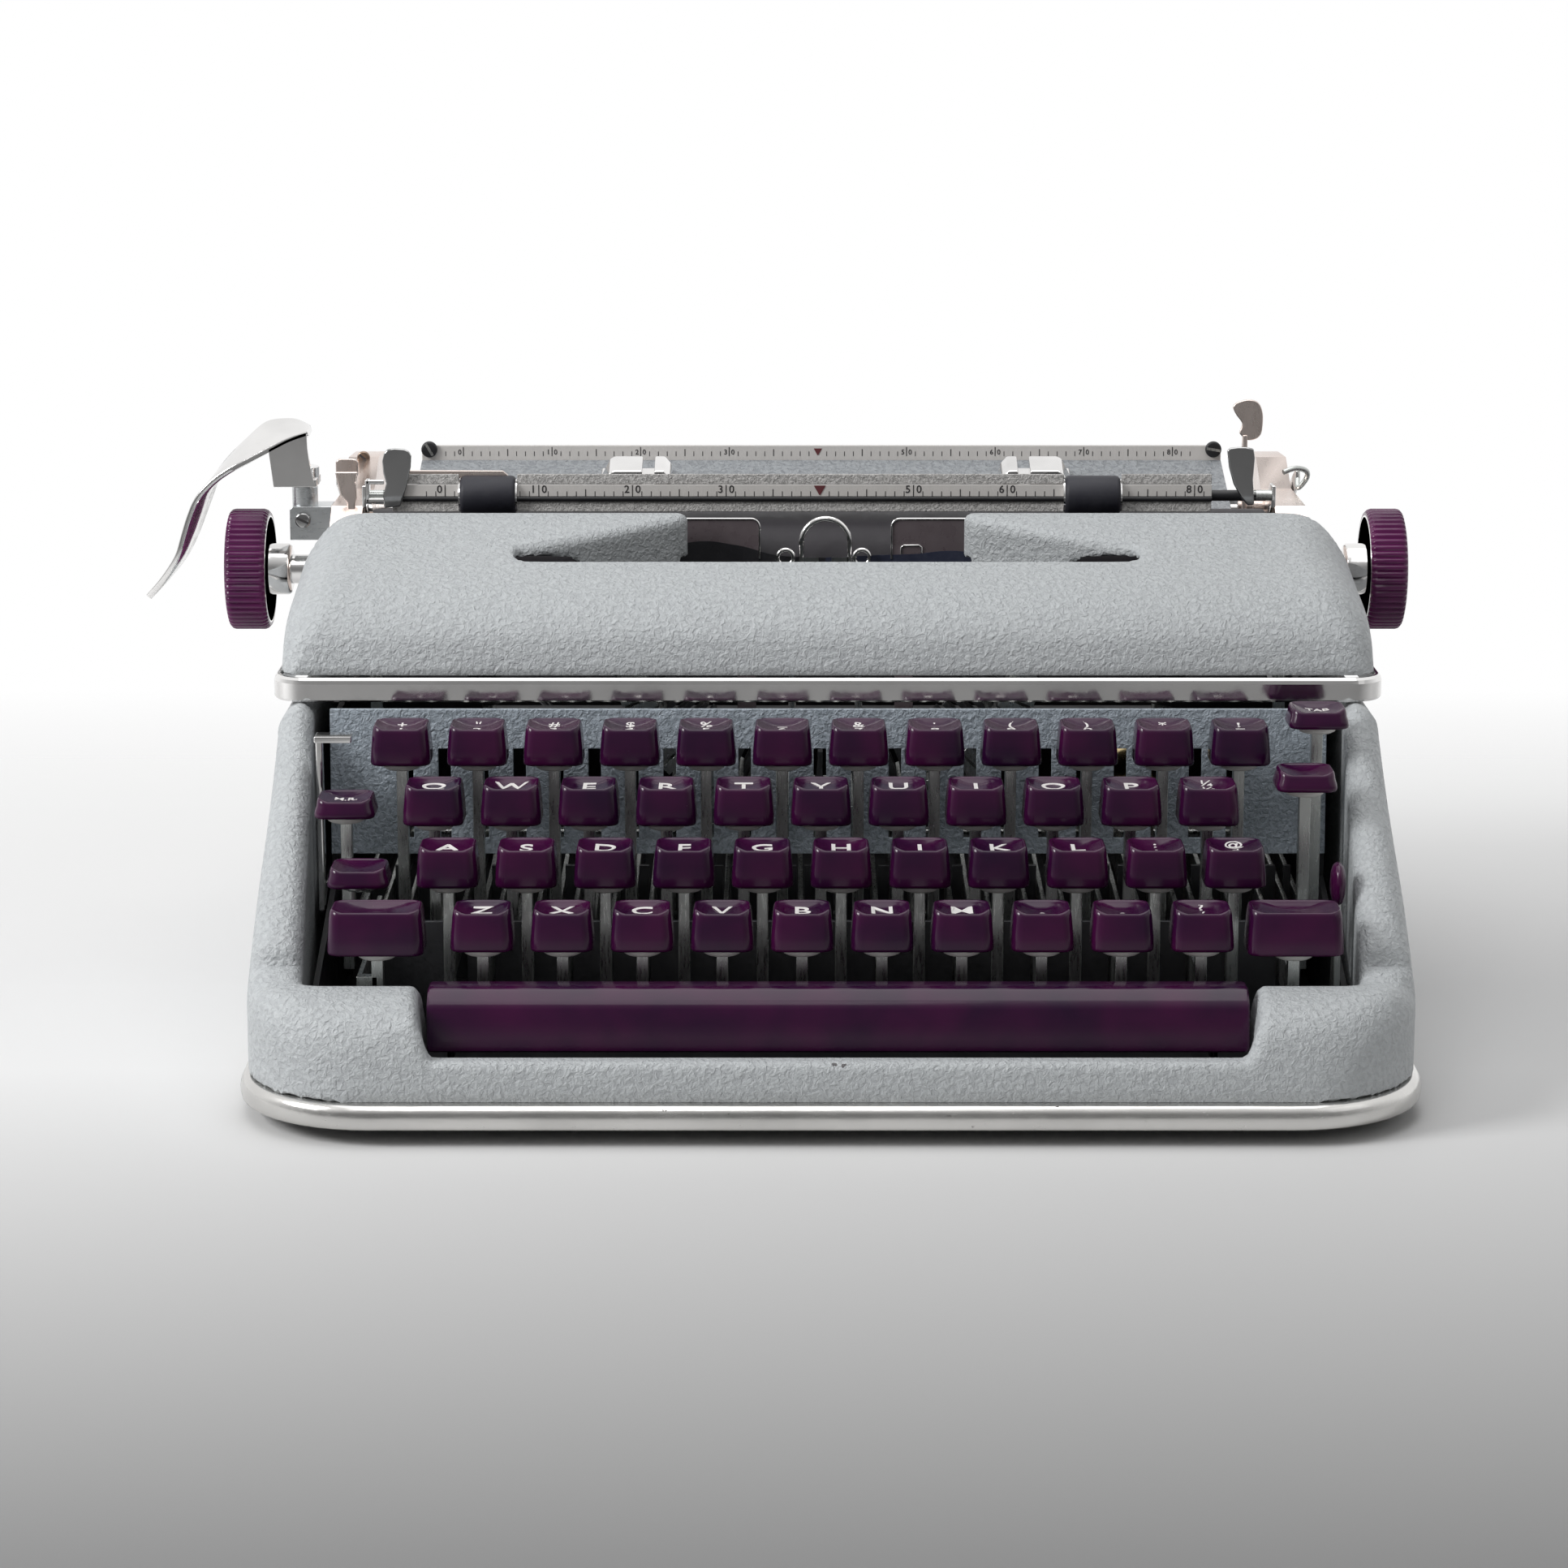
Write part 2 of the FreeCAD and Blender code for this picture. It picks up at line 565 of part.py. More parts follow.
def base_pieces():
    """The polished trim strip round the foot of the casing, the plate inside it and the four rubber feet."""
    half = S.trim_half_width.value
    rear = S.trim_rear.value
    wide = S.trim_width.value
    corner = S.body_corner.value + 2
    tail = S.body_rear_corner.value + 2
    low = S.foot_height.value
    outer = plan_outline(half, 0, rear, corner, tail, low, S.trim_height.value)
    inner = plan_outline(half - wide, wide, rear - wide, corner - wide, tail - wide, low - 1, 20)
    node("base_trim", shaped(outer.cut(inner)))
    play = S.pivot_play.value
    plate = plan_outline(
        half - wide - play, wide + play, rear - wide - play, corner - wide, tail - wide,
        S.plate_level.value, S.plate_thickness.value)
    node("base_plate", shaped(plate))
    feet = []
    inset = S.foot_inset
    for x in (-S.trim_half_width + inset, S.trim_half_width - inset):
        for y in (inset, S.trim_rear - inset):
            feet.append(rod_z(S.foot_radius, 0, S.plate_level, x, y))
    node("rubber_feet", group(*feet))


def cover_strip():
    """The polished strip round the top of the casing, open at the rear, that the ribbon cover stands on."""
    half = S.strip_half_width.value
    front = S.strip_front.value
    rear = S.cover_rear.value
    low = S.deck_height.value
    high = S.strip_height.value
    thick = S.strip_thickness.value
    corner = S.strip_corner.value
    outer = plan_outline(half, front, rear + 40, corner, corner, low, high)
    inner = plan_outline(half - thick, front + thick, rear + 39, corner - thick, corner - thick, low - 1, high + 2)
    back = Part.makeBox(400, 60, 60, vector(-200, rear, low - 10))
    return shaped(outer.cut(inner).cut(back))


def key_cap(x, y, top, width, height):
    """A tapered key cap with rounded corners and a dished top, its lower face height below the top rim."""
    half = width / 2
    taper = (S.cap_width - S.cap_top_width) / 2
    deep = S.cap_depth / 2
    top_deep = S.cap_top_depth / 2
    block = doc.addObject("Part::Wedge", "Cap")
    bind(block, Ymin=0, Ymax=height, Xmin=-half, Xmax=half, Zmin=-deep, Zmax=deep)
    bind(block, X2min=taper - half, X2max=half - taper, Z2min=-top_deep, Z2max=top_deep)
    place(block, x, y, top - height, turn((1, 0, 0), 90))
    cap = rounded(block, S.cap_corner, runs_up)
    ball = doc.addObject("Part::Sphere", "Dish")
    wide = width / S.cap_width
    radius = S.dish_radius * wide * wide
    bind(ball, Radius=radius)
    place(ball, x, y, top + radius - S.dish_sag)
    return cut(cap, ball)


def lever(x, y, lever_x, high):
    """A key lever: the upright under the key, the plate that runs back from it to the shaft and is bored for it,
    and, where that plate lies beside the key, the foot that leads across to it. The three abut."""
    half = S.lever_thickness / 2
    wide = S.stem_width / 2
    deep = S.stem_depth / 2
    sides = (lever_x - half, lever_x + half)
    plate = wedge(sides, sides, y + deep, S.pivot_depth + S.lever_tail, (S.lever_low, S.lever_high),
                  (S.lever_low_rear, S.lever_high_rear))
    bore = rod_x(S.pivot_radius + S.pivot_play, lever_x - 1, lever_x + 1, S.pivot_depth, S.pivot_height)
    parts = [box(x - wide, x + wide, y - deep, y + deep, S.lever_low, high), cut(plate, bore)]
    aside = lever_x.value - x.value
    if abs(aside) > wide.value:
        low, far = (sides[0], x - wide) if aside < 0 else (x + wide, sides[1])
        parts.append(box(low, far, y - deep, y + deep, S.lever_low, S.lever_high))
    return parts


def key(x, y, top, width=None, height=None, lever_x=None):
    """One key: the pieces of its lever, the round washer under the cap and, last, the cap."""
    width = width or S.cap_width
    height = height or S.cap_height
    lever_x = x if lever_x is None else lever_x
    seat = top - height
    washer = rod_z(S.washer_radius, seat - S.washer_height, seat, x, y)
    return lever(x, y, lever_x, seat - S.washer_height) + [washer, key_cap(x, y, top, width, height)]


def key_row(first, y, top, count):
    keys = []
    for i in range(count):
        keys += key(S.key_pitch * i - first, y, top)
    return group(*keys)


HOME_KEYS = ["a", "s", "d", "f", "g", "h", "j", "k", "l", "colon", "at"]


def keyboard():
    node("number_row_keys", key_row(S.number_row_x, S.number_row_y, S.number_row_z, 12))
    node("top_row_keys", key_row(S.top_row_x, S.top_row_y, S.top_row_z, 11))
    node("bottom_row_keys", key_row(S.bottom_row_x, S.bottom_row_y, S.bottom_row_z, 10))
    for i, letter in enumerate(HOME_KEYS):
        parts = key(S.key_pitch * i - S.home_row_x, S.home_row_y, S.home_row_z)
        node("key_" + letter, group(*parts))
    low = S.bottom_row_y
    left = key(-S.shift_left_x, low, S.bottom_row_z, S.shift_cap_width, S.shift_cap_height, -S.shift_lever_left)
    right = key(S.shift_right_x, low, S.bottom_row_z, S.shift_cap_width, S.shift_cap_height)
    half = S.lever_thickness / 2
    near, far = S.cross_depth, S.cross_depth + S.cross_size
    bottom = S.cross_height
    cross = box(-S.shift_lever_left - half, S.shift_right_x + half, near, far, bottom, bottom + S.cross_size)
    drops = [box(x - half, x + half, near, far, bottom, S.lever_high) for x in (-S.shift_lever_left, S.shift_right_x)]
    boss_x = -S.shift_lever_left
    depth, height = S.lock_pivot_depth, S.lock_pivot_height
    boss = box(boss_x - half, boss_x + half, depth - 3, depth + 3, S.lever_high - 2, height + 2.5)
    pin = rod_x(S.small_pin_radius, boss_x - 4, boss_x, depth, height)
    arms = fuse(*left[:-2], *right[:-2], cross, boss, pin, *drops)
    node("shift_keys", group(arms, *left[-2:], *right[-2:]))
    node("margin_release_key", group(*key(-S.release_x, S.top_row_y, S.release_z, None, S.small_cap_height)))
    node("backspace_key", group(*key(S.back_x, S.top_row_y, S.back_z, None, S.small_cap_height)))
    tab = key(S.tab_x, S.number_row_y, S.tab_z, None, S.small_cap_height, S.tab_lever_x)
    node("tab_key", group(*tab))


def shift_lock():
    """The lock key on its own short lever, which is pivoted on the left shift lever."""
    x = -S.lock_x
    seat = S.lock_z - S.small_cap_height
    cap = key_cap(x, S.home_row_y, S.lock_z, S.cap_width, S.small_cap_height)
    washer = rod_z(S.washer_radius, seat - S.washer_height, seat, x, S.home_row_y)
    lever_x = x - S.lock_lever_offset
    half = S.lever_thickness / 2
    deep = S.stem_depth / 2
    depth, height = S.lock_pivot_depth, S.lock_pivot_height
    y = S.home_row_y
    up = box(lever_x - half, lever_x + half, y - deep, y + deep, height - 2, seat - S.washer_height)
    back = box(lever_x - half, lever_x + half, y - deep, depth + 4, height - 2.5, height + 3)
    pin_hole = rod_x(S.small_pin_radius + S.pivot_play, lever_x - 1, lever_x + 1, depth, height)
    node("shift_lock_key", group(cut(fuse(up, back), pin_hole), washer, cap))


def space_bar():
    """The long bar with its bevelled upper front, on two arms joined by a cross rod."""
    front, rear = S.bar_front, S.bar_rear
    low, high = S.bar_bottom, S.bar_top
    outline = [
        (front, low), (rear, low), (rear, high - 0.5), (rear - 1, high), (front + 5.4, high),
        (front + 4.6, high - 0.4), (front + 2, high - 2.4), (front + 1.4, high - 3.4),
    ]
    bar = profile("YZ_Plane", outline, S.bar_left + S.bar_right, -S.bar_left)
    half = S.bar_arm_thickness / 2
    depth, height = S.bar_pivot_depth, S.bar_pivot_height
    parts = [rod_x(S.bar_pivot_radius, -S.frame_plate_x - 1, S.frame_plate_x + 1, depth, height)]
    for x in (-S.bar_arm_left, S.bar_arm_right):
        side = (x - half, x + half)
        floor = S.bar_arm_floor
        parts.append(box(x - half, x + half, front + 5, rear - 2, floor, low))
        parts.append(wedge(side, side, front + 5, depth + 2, (floor, low), (height - 1.6, height + 1.6)))
    node("space_bar", group(bar, fuse(*parts)))


def small_levers():
    """The tab set lever at the left of the keyboard and the ribbon selector at the right."""
    x = -S.set_lever_x
    y = S.number_row_y
    half = S.small_lever_half
    depth, height = S.set_pivot_depth, S.set_pivot_height
    rod = box(x - half, x + half, y - 1.4, y + 1.4, height + 3, S.set_lever_z)
    tab = box(x - half, x + 8.5, y - 5, y + 1.4, S.set_lever_z - 1.6, S.set_lever_z)
    foot = box(x - half, x + half, y - 1.4, depth + 4, height - 3, height + 3)
    hole = S.small_pin_radius + S.pivot_play
    bore = rod_x(hole, x - 2, x + 2, depth, height)
    node("tab_set_lever", cut(fuse(rod, tab, foot), bore))
    x = S.selector_x
    y = S.home_row_y
    pivot, top = S.selector_pivot_height, S.selector_z
    outline = [(y - 2, pivot - 4), (y + 3, pivot - 4), (y + 4, pivot + 2), (y + 2, top - 9), (y + 4.5, top - 4),
               (y + 3, top), (y - 3, top), (y - 4.5, top - 4), (y - 2, top - 9), (y - 3, pivot + 2)]
    blade = profile("YZ_Plane", outline, 1.6, x - 0.8)
    bore = rod_x(hole, x - 2, x + 2, y, pivot)
    node("ribbon_selector", cut(blade, bore))


def lever_positions():
    """Every x at which a lever passes the rear comb, and those that also pass the front comb."""
    rows = (
        (S.number_row_x, 12), (S.top_row_x, 11), (S.home_row_x, 11), (S.bottom_row_x, 10))
    behind = [S.key_pitch * i - first for first, count in rows for i in range(count)]
    ahead = [S.key_pitch * i - first for first, count in rows[2:] for i in range(count)]
    sides = [-S.shift_lever_left, S.shift_right_x]
    return behind + sides + [-S.release_x, S.back_x, S.tab_lever_x], ahead + sides


def combs():
    """The two slotted plates that keep the key levers apart."""
    behind, ahead = lever_positions()
    low = S.plate_level + S.plate_thickness
    half = S.lever_thickness / 2 + S.comb_play
    plates = []
    arms = S.bar_arm_thickness / 2 + 2 * S.comb_play
    combs_at = ((S.comb_front_depth, ahead, S.comb_front_half), (S.comb_rear_depth, behind, S.comb_rear_half))
    for y, places, reach in combs_at:
        plate = box(-reach, reach, y, y + S.comb_thickness, low, COMB_TOP)
        slots = [box(x - half, x + half, y - 1, y + 5, S.comb_slot_floor, COMB_TOP + 5) for x in places]
        if places is ahead:
            for x in (-S.bar_arm_left, S.bar_arm_right):
                slots.append(box(x - arms, x + arms, y - 1, y + 5, low - 1, COMB_TOP + 5))
        plates.append(cut(plate, *slots))
    node("lever_combs", group(*plates))
    shaft = rod_x(S.pivot_radius, -S.lever_shaft_half, S.lever_shaft_half, S.pivot_depth, S.pivot_height)
    node("lever_shaft", shaft)


def key_panel():
    """The painted plate behind the keys, leaning back, with an upright slot behind each stem."""
    y, lean = S.panel_depth, S.panel_lean
    outline = [(y, S.panel_low), (y + S.panel_thickness, S.panel_low), (y + lean + S.panel_thickness, S.panel_high),
               (y + lean, S.panel_high)]
    plate = profile("YZ_Plane", outline, S.panel_half * 2, -S.panel_half)
    slots = []
    half = S.panel_slot_width / 2
    for first, count in ((S.number_row_x, 12), (S.top_row_x, 11)):
        for i in range(count):
            x = S.key_pitch * i - first
            slots.append(box(x - half, x + half, y - 2, y + 8, S.panel_low + 4, S.panel_high - 10))
    node("key_panel", cut(plate, *slots))


def typebar_solids(angle):
    """A typebar lying forward from its pivot and the slug at its end, turned about the typing line by the angle."""
    pivot_z = S.typing_height.value - S.typing_radius.value
    y = S.segment_depth.value
    reach = S.typing_radius.value
    thick = S.typebar_thickness.value / 2
    tall = S.typebar_height.value / 2
    wide = S.slug_width.value / 2
    slug_half = S.slug_length.value / 2
    bar = Part.makeBox(
        2 * thick, reach - slug_half + 3, 2 * tall, vector(-thick, y - reach + slug_half, pivot_z - tall))
    slug = Part.makeBox(
        2 * wide, 2 * slug_half, S.slug_height.value + tall, vector(-wide, y - reach - slug_half, pivot_z - tall))
    bore = Part.makeCylinder(S.typebar_bore.value, 4, vector(-2, y, pivot_z), vector(1, 0, 0))
    pieces = Part.makeCompound([bar.cut(bore), slug])
    pieces.rotate(vector(0, 0, S.typing_height), vector(0, 1, 0), angle)
    return pieces.Solids


def type_basket():
    """The slotted segment, the typebars resting in it, and the middle typebar as a piece of its own."""
    y = S.segment_depth.value
    half = S.segment_half_thickness.value
    centre = vector(0, y - half, S.typing_height)
    ring = Part.makeCylinder(S.segment_outer.value, 2 * half, centre, vector(0, 1, 0))
    ring = ring.cut(Part.makeCylinder(S.segment_inner.value, 2 * half, centre, vector(0, 1, 0)))
    above = S.typing_height.value - S.segment_cut.value
    ring = ring.cut(Part.makeBox(200, 40, 100, vector(-100, y - 20, above)))
    count = int(S.typebar_count.value)
    wide = S.typebar_thickness.value / 2 + S.slot_play.value
    slot_low = S.typing_height.value - S.typing_radius.value - 4
    slots = []
    for i in range(-count, count + 1):
        slot = Part.makeBox(2 * wide, 2 * half + 2, 14.5, vector(-wide, y - half - 1, slot_low))
        slot.rotate(vector(0, 0, S.typing_height), vector(0, 1, 0), S.typebar_step.value * i)
        slots.append(slot)
    hollow = Part.makeCylinder(
        S.segment_outer.value - 2, 20, vector(0, y - 10, S.typing_height), vector(0, 1, 0))
    reach = S.frame_plate_x.value
    foot = Part.makeBox(60, 2 * half, 12, vector(-30, y - half, BRIDGE_LEVEL)).cut(hollow)
    arms = Part.makeBox(2 * reach, 2 * half, S.bridge_height.value, vector(-reach, y - half, BRIDGE_LEVEL))
    wire = Part.makeTorus(
        S.typing_radius.value, S.segment_wire.value, vector(0, y, S.typing_height), vector(0, 1, 0))
    wire = wire.cut(Part.makeBox(200, 40, 100, vector(-100, y - 20, above - 0.5)))
    ring = ring.fuse([foot, arms.cut(hollow)]).cut(Part.makeCompound(slots)).fuse(wire)
    node("type_segment", shaped(sorted(ring.Solids, key=lambda s: s.Volume)[-1]))
    bars = []
    for i in range(-count, count + 1):
        if i:
            bars += typebar_solids(S.typebar_step.value * i)
    node("typebars", shaped(Part.makeCompound(bars)))
    node("centre_typebar", shaped(Part.makeCompound(typebar_solids(0))))


def card_holders():
    """The two paper card holders with the wire loop of the type guide between them, on a bracket."""
    front = S.card_depth
    rear = front + S.card_thickness
    wire = S.guide_wire_radius
    half = S.guide_half_width
    level = CARD_LOW + 3
    shoulder = CARD_HIGH - half
    bracket_top = CARD_BRACKET + S.card_bracket_height
    leg_near = S.card_inner + 1
    leg_far = leg_near + S.card_leg
    parts = []
    for side in (-1, 1):
        card = (S.card_inner, S.card_outer) if side > 0 else (-S.card_outer, -S.card_inner)
        leg = (leg_near, leg_far) if side > 0 else (-leg_far, -leg_near)
        link = (half, leg_near) if side > 0 else (-leg_near, -half)
        parts.append(box(card[0], card[1], front, rear, CARD_LOW, CARD_HIGH))
        parts.append(box(leg[0], leg[1], front, rear, bracket_top, CARD_LOW + 1))
        parts.append(rod_x(wire, link[0], link[1], front, level))
        parts.append(rod_z(wire, level, shoulder, half * side, front))
    bow = doc.addObject("Part::Torus", "Bow")
    bind(bow, Radius1=half, Radius2=wire)
    bow.Angle3 = 180
    place(bow, 0, front, shoulder, turn((1, 0, 0), 90))
    parts.append(bow)
    segment_rear = S.segment_depth + S.segment_half_thickness
    plate = box(-leg_far, leg_far, segment_rear + S.card_bracket_gap, rear, CARD_BRACKET, bracket_top)
    gap = box(-4, 4, segment_rear - 1, rear + 1, CARD_BRACKET - 1, bracket_top + 1)
    node("card_holders", fuse(cut(plate, gap), *parts))


def ribbon_parts():
    """The ribbon, its two spools and the vibrator that lifts it to the typing line."""
    low = S.ribbon_low
    high = low + S.ribbon_width
    y = S.ribbon_depth.value
    thin = S.ribbon_thickness.value
    inner = S.vibrator_outer.value + 1
    reach = S.spool_x.value - 2
    end_y = S.spool_y.value + S.spool_pack.value + 0.4
    path = [(-reach, end_y), (-inner, y), (inner, y), (reach, end_y)]
    outline = [(x, yy, low.value) for x, yy in path] + [(x, yy + thin, low.value) for x, yy in reversed(path)]
    node("ribbon", shaped(prism(outline, (0, 0, S.ribbon_width.value))))
    for side, name in ((-1, "ribbon_spool_left"), (1, "ribbon_spool_right")):
        x = S.spool_x * side
        flange = S.flange_thickness
        parts = [
            rod_z(S.spool_radius, low - 0.4 - flange, low - 0.4, x, S.spool_y),
            rod_z(S.spool_pack, low - 0.4, high + 0.4, x, S.spool_y),
            rod_z(S.spool_radius, high + 0.4, high + 0.4 + flange, x, S.spool_y),
        ]
        bore = rod_z(S.spool_bore, low - 5, high + 5, x, S.spool_y)
        notches = []
        for i in range(3):
            angle = math.radians(120 * i + 20)
            far = S.spool_radius * 0.86
            along, back = x + far * math.cos(angle), S.spool_y + far * math.sin(angle)
            notches.append(rod_z(1.6, high + 0.3, high + 5, along, back))
        node(name, cut(fuse(*parts), bore, *notches))
    parts = []
    deep = S.ribbon_depth - 1.7
    for side in (-1, 1):
        a, b = (-S.vibrator_outer, -S.vibrator_inner) if side < 0 else (S.vibrator_inner, S.vibrator_outer)
        parts.append(box(a, b, deep, deep + 1, low - 6, high + 1))
        parts.append(box(a, b, deep, S.ribbon_depth + 1.2, high + 0.4, high + 1))
        parts.append(box(a, b, S.ribbon_depth + 0.7, S.ribbon_depth + 1.2, low + 2, high + 1))
        a, b = (-10, -8) if side < 0 else (8, 10)
        parts.append(box(a, b, deep, deep + 1, 66, low - 5))
    parts.append(box(-S.vibrator_outer, S.vibrator_outer, deep, deep + 1, low - 9, low - 5))
    node("ribbon_vibrator", fuse(*parts))


def main_frame():
    """Two side plates tied by cross members, with the rail shelf, the spool posts and the cover's hinge pins."""
    x, thick = S.frame_plate_x, S.frame_plate_thickness
    low = S.plate_level + S.plate_thickness
    back = S.panel_depth + S.panel_thickness
    front, rear = S.frame_front, S.frame_rear
    outline = [(front, low), (rear, low), (rear, 60), (rear - 22, 69), (200, 69), (196, 80),
               (back + S.panel_lean, 80), (back + 0.2, S.panel_low + 1), (back + 0.2, 40), (front, 22)]
    parts = []
    for start in (-x - thick, x):
        plate = profile("YZ_Plane", outline, thick, start)
        bores = [
            rod_x(S.pivot_radius + 0.02, start - 1, start + 3, S.pivot_depth, S.pivot_height),
            rod_x(S.bar_pivot_radius + S.pivot_play, start - 1, start + 3, S.bar_pivot_depth, S.bar_pivot_height),
        ]
        parts.append(cut(plate, *bores))
    member = rear - S.member_thickness
    parts.append(box(-x, x, S.front_member_depth, S.front_member_depth + 4, low, low + 5))
    parts.append(box(-x, x, member, rear, low, 60))
    shelf_top = S.shelf_level + S.shelf_thickness
    shelf = box(-x, x, S.shelf_front, S.shelf_rear, S.shelf_level, shelf_top)
    hole = S.guide_rod_radius + S.pivot_play
    holes = [rod_z(hole, S.shelf_level - 5, shelf_top + 5, side * S.guide_rod_x, S.guide_rod_depth)
             for side in (-1, 1)]
    parts.append(cut(shelf, *holes))
    for side in (-1, 1):
        spool = S.spool_x * side
        bracket = (spool, x) if side > 0 else (-x, spool)
        foot = S.post_foot
        parts.append(box(bracket[0], bracket[1], S.spool_y - 8, S.spool_y + 8, foot, foot + S.post_shelf))
        parts.append(rod_z(S.post_collar, foot, S.ribbon_low - 1.5, spool, S.spool_y))
        parts.append(rod_z(S.spool_post_radius, foot, S.ribbon_low + S.ribbon_width + 3, spool, S.spool_y))
    pin = S.small_pin_radius
    parts.append(rod_x(pin, S.selector_x - 1.6, x, S.home_row_y, S.selector_pivot_height))
    parts.append(rod_x(pin, -S.set_lever_x - 1.4, -x - thick, S.set_pivot_depth, S.set_pivot_height))
    parts.append(rod_y(S.drum_axle_radius, S.drum_y - 1.5, member, -S.drum_x, S.drum_z))
    node("main_frame", fuse(*parts))
    pins = []
    y, z = S.hinge_depth, S.hinge_height
    near, far = S.hinge_place - S.hinge_arm, S.hinge_place - 2
    for side in (-1, 1):
        pin = (near, S.hinge_place + 2) if side > 0 else (-S.hinge_place - 2, -near)
        web = (near, far) if side > 0 else (-far, -near)
        foot = (near, x) if side > 0 else (-x, -near)
        pins.append(fuse(
            rod_x(S.hinge_radius, pin[0], pin[1], y, z),
            box(web[0], web[1], y, y + 6, z - 0.4, z + S.hinge_radius),
            box(web[0], web[1], y + 4, y + 6, 76, z),
            box(foot[0], foot[1], y + 1, y + 8, 76, 79)))
    node("cover_hinge_pins", group(*pins))


def drum_and_bell():
    x = -S.drum_x
    drum = rod_y(S.drum_radius, S.drum_y, S.drum_y + S.drum_depth, x, S.drum_z)
    bore = rod_y(S.drum_axle_radius + S.pivot_play, S.drum_y - 1, S.drum_y + 20, x, S.drum_z)
    groove = cut(rod_y(S.drum_radius + 1, S.drum_y + 5, S.drum_y + 9, x, S.drum_z),
                 rod_y(S.drum_radius - 1.5, S.drum_y + 4, S.drum_y + 10, x, S.drum_z))
    node("spring_drum", cut(drum, bore, groove))
    radius = S.bell_radius
    ball = doc.addObject("Part::Sphere", "Bell")
    bind(ball, Radius=radius)
    place(ball, S.bell_x, S.bell_y, S.bell_z)
    hollow = doc.addObject("Part::Sphere", "Hollow")
    bind(hollow, Radius=radius - S.bell_wall)
    place(hollow, S.bell_x, S.bell_y, S.bell_z)
    half = box(S.bell_x - 30, S.bell_x + 30, S.bell_y - 30, S.bell_y, S.bell_z - 30, S.bell_z + 30)
    member = S.frame_rear - S.member_thickness
    stud = rod_y(2, S.bell_y - S.bell_radius + S.bell_wall - 0.1, member, S.bell_x, S.bell_z)
    node("margin_bell", fuse(common(cut(ball, hollow), half), stud))


def carriage():
    """The rail that lifts with the shift keys, and the carriage frame that slides along its tongue."""
    half = S.rail_half_length
    bar = box(-half, half, S.channel_front + 1, S.channel_rear - 1, S.rail_bottom, S.rail_top)
    tongue = box(-half, half, S.tongue_front, S.tongue_rear, S.rail_top, S.tongue_top)
    foot = S.shelf_level - 8
    rods = [rod_z(S.guide_rod_radius, foot, S.rail_bottom, side * S.guide_rod_x, S.guide_rod_depth)
            for side in (-1, 1)]
    node("carriage_rail", fuse(bar, tongue, *rods))
    play = S.carriage_play
    left, right = -S.carriage_left, S.carriage_right
    floor, top = S.carriage_floor, S.carriage_top
    channel = box(left, right, S.channel_front, S.channel_rear, floor, top)
    groove = box(left - 1, right + 1, S.tongue_front - play, S.tongue_rear + play, floor - 1, S.tongue_top + play)
    front = S.platen_depth - S.platen_radius - 0.2
    outline = [(front, floor), (250, floor), (264, 100), (270, 127), (250, 128), (236, 121), (202, 121),
               (front, 112)]
    play_bore = S.platen_shaft_radius + 0.1
    parts = []
    for a, b in ((left, -S.end_plate_left_inner), (S.end_plate_right_inner, right)):
        plate = profile("YZ_Plane", outline, b - a, a)
        bores = [rod_x(play_bore, a - 1, b + 1, S.platen_depth, S.platen_height)]
        for y, z in (feed_place(1), feed_place(-1)):
            bores.append(rod_x(S.feed_shaft_radius + S.pivot_play, a - 1, b + 1, y, z))
        bores.append(rod_x(1.6, a - 1, b + 1, S.bail_pivot_depth, S.bail_pivot_height))
        bores.append(rod_x(1.6, a - 1, b + 1, S.release_shaft_depth, S.release_shaft_height))
        bores.append(box(a - 1, b + 1, S.tongue_front - play, S.tongue_rear + play, floor - 1, S.tongue_top + play))
        parts.append(cut(plate, *bores))
    pin_end = S.end_plate_right_inner
    parts.append(rod_x(1.5, S.paper_lever_x - 1.5, pin_end, S.paper_lever_depth, S.paper_lever_height))
    node("carriage_frame", fuse(cut(channel, groove), *parts))


def feed_place(side):
    """The centre of the rear (1) or front (-1) feed rollers, a small gap below the platen's skin."""
    angle = S.feed_angle_rear if side > 0 else S.feed_angle_front
    radius = S.feed_radius_rear if side > 0 else S.feed_radius_front
    reach = S.platen_radius + radius + S.feed_gap
    slope = math.radians(angle.value)
    y = Size(math.cos(slope), "cos(%s * 1 deg)" % angle.text)
    z = Size(math.sin(slope), "sin(%s * 1 deg)" % angle.text)
    return S.platen_depth + reach * y * side, S.platen_height - reach * z


def knob(low, high, hub_low, hub_high, dish_low, dish_high, bore_low, bore_high):
    """A round wheel from low to high with a hub, a dished inner side and a bore for the platen shaft."""
    y, z = S.platen_depth, S.platen_height
    wheel = rounded(rod_x(S.knob_radius, low, high, y, z), S.knob_edge, lambda edge: edge.Closed)
    hollow = cut(rod_x(S.knob_radius - 2.5, dish_low, dish_high, y, z),
                 rod_x(S.hub_radius, dish_low - 1, dish_high + 1, y, z))
    hub = rod_x(S.hub_radius, hub_low, hub_high, y, z)
    bore = rod_x(S.platen_shaft_radius, bore_low, bore_high, y, z)
    return cut(fuse(cut(wheel, hollow), hub), bore)


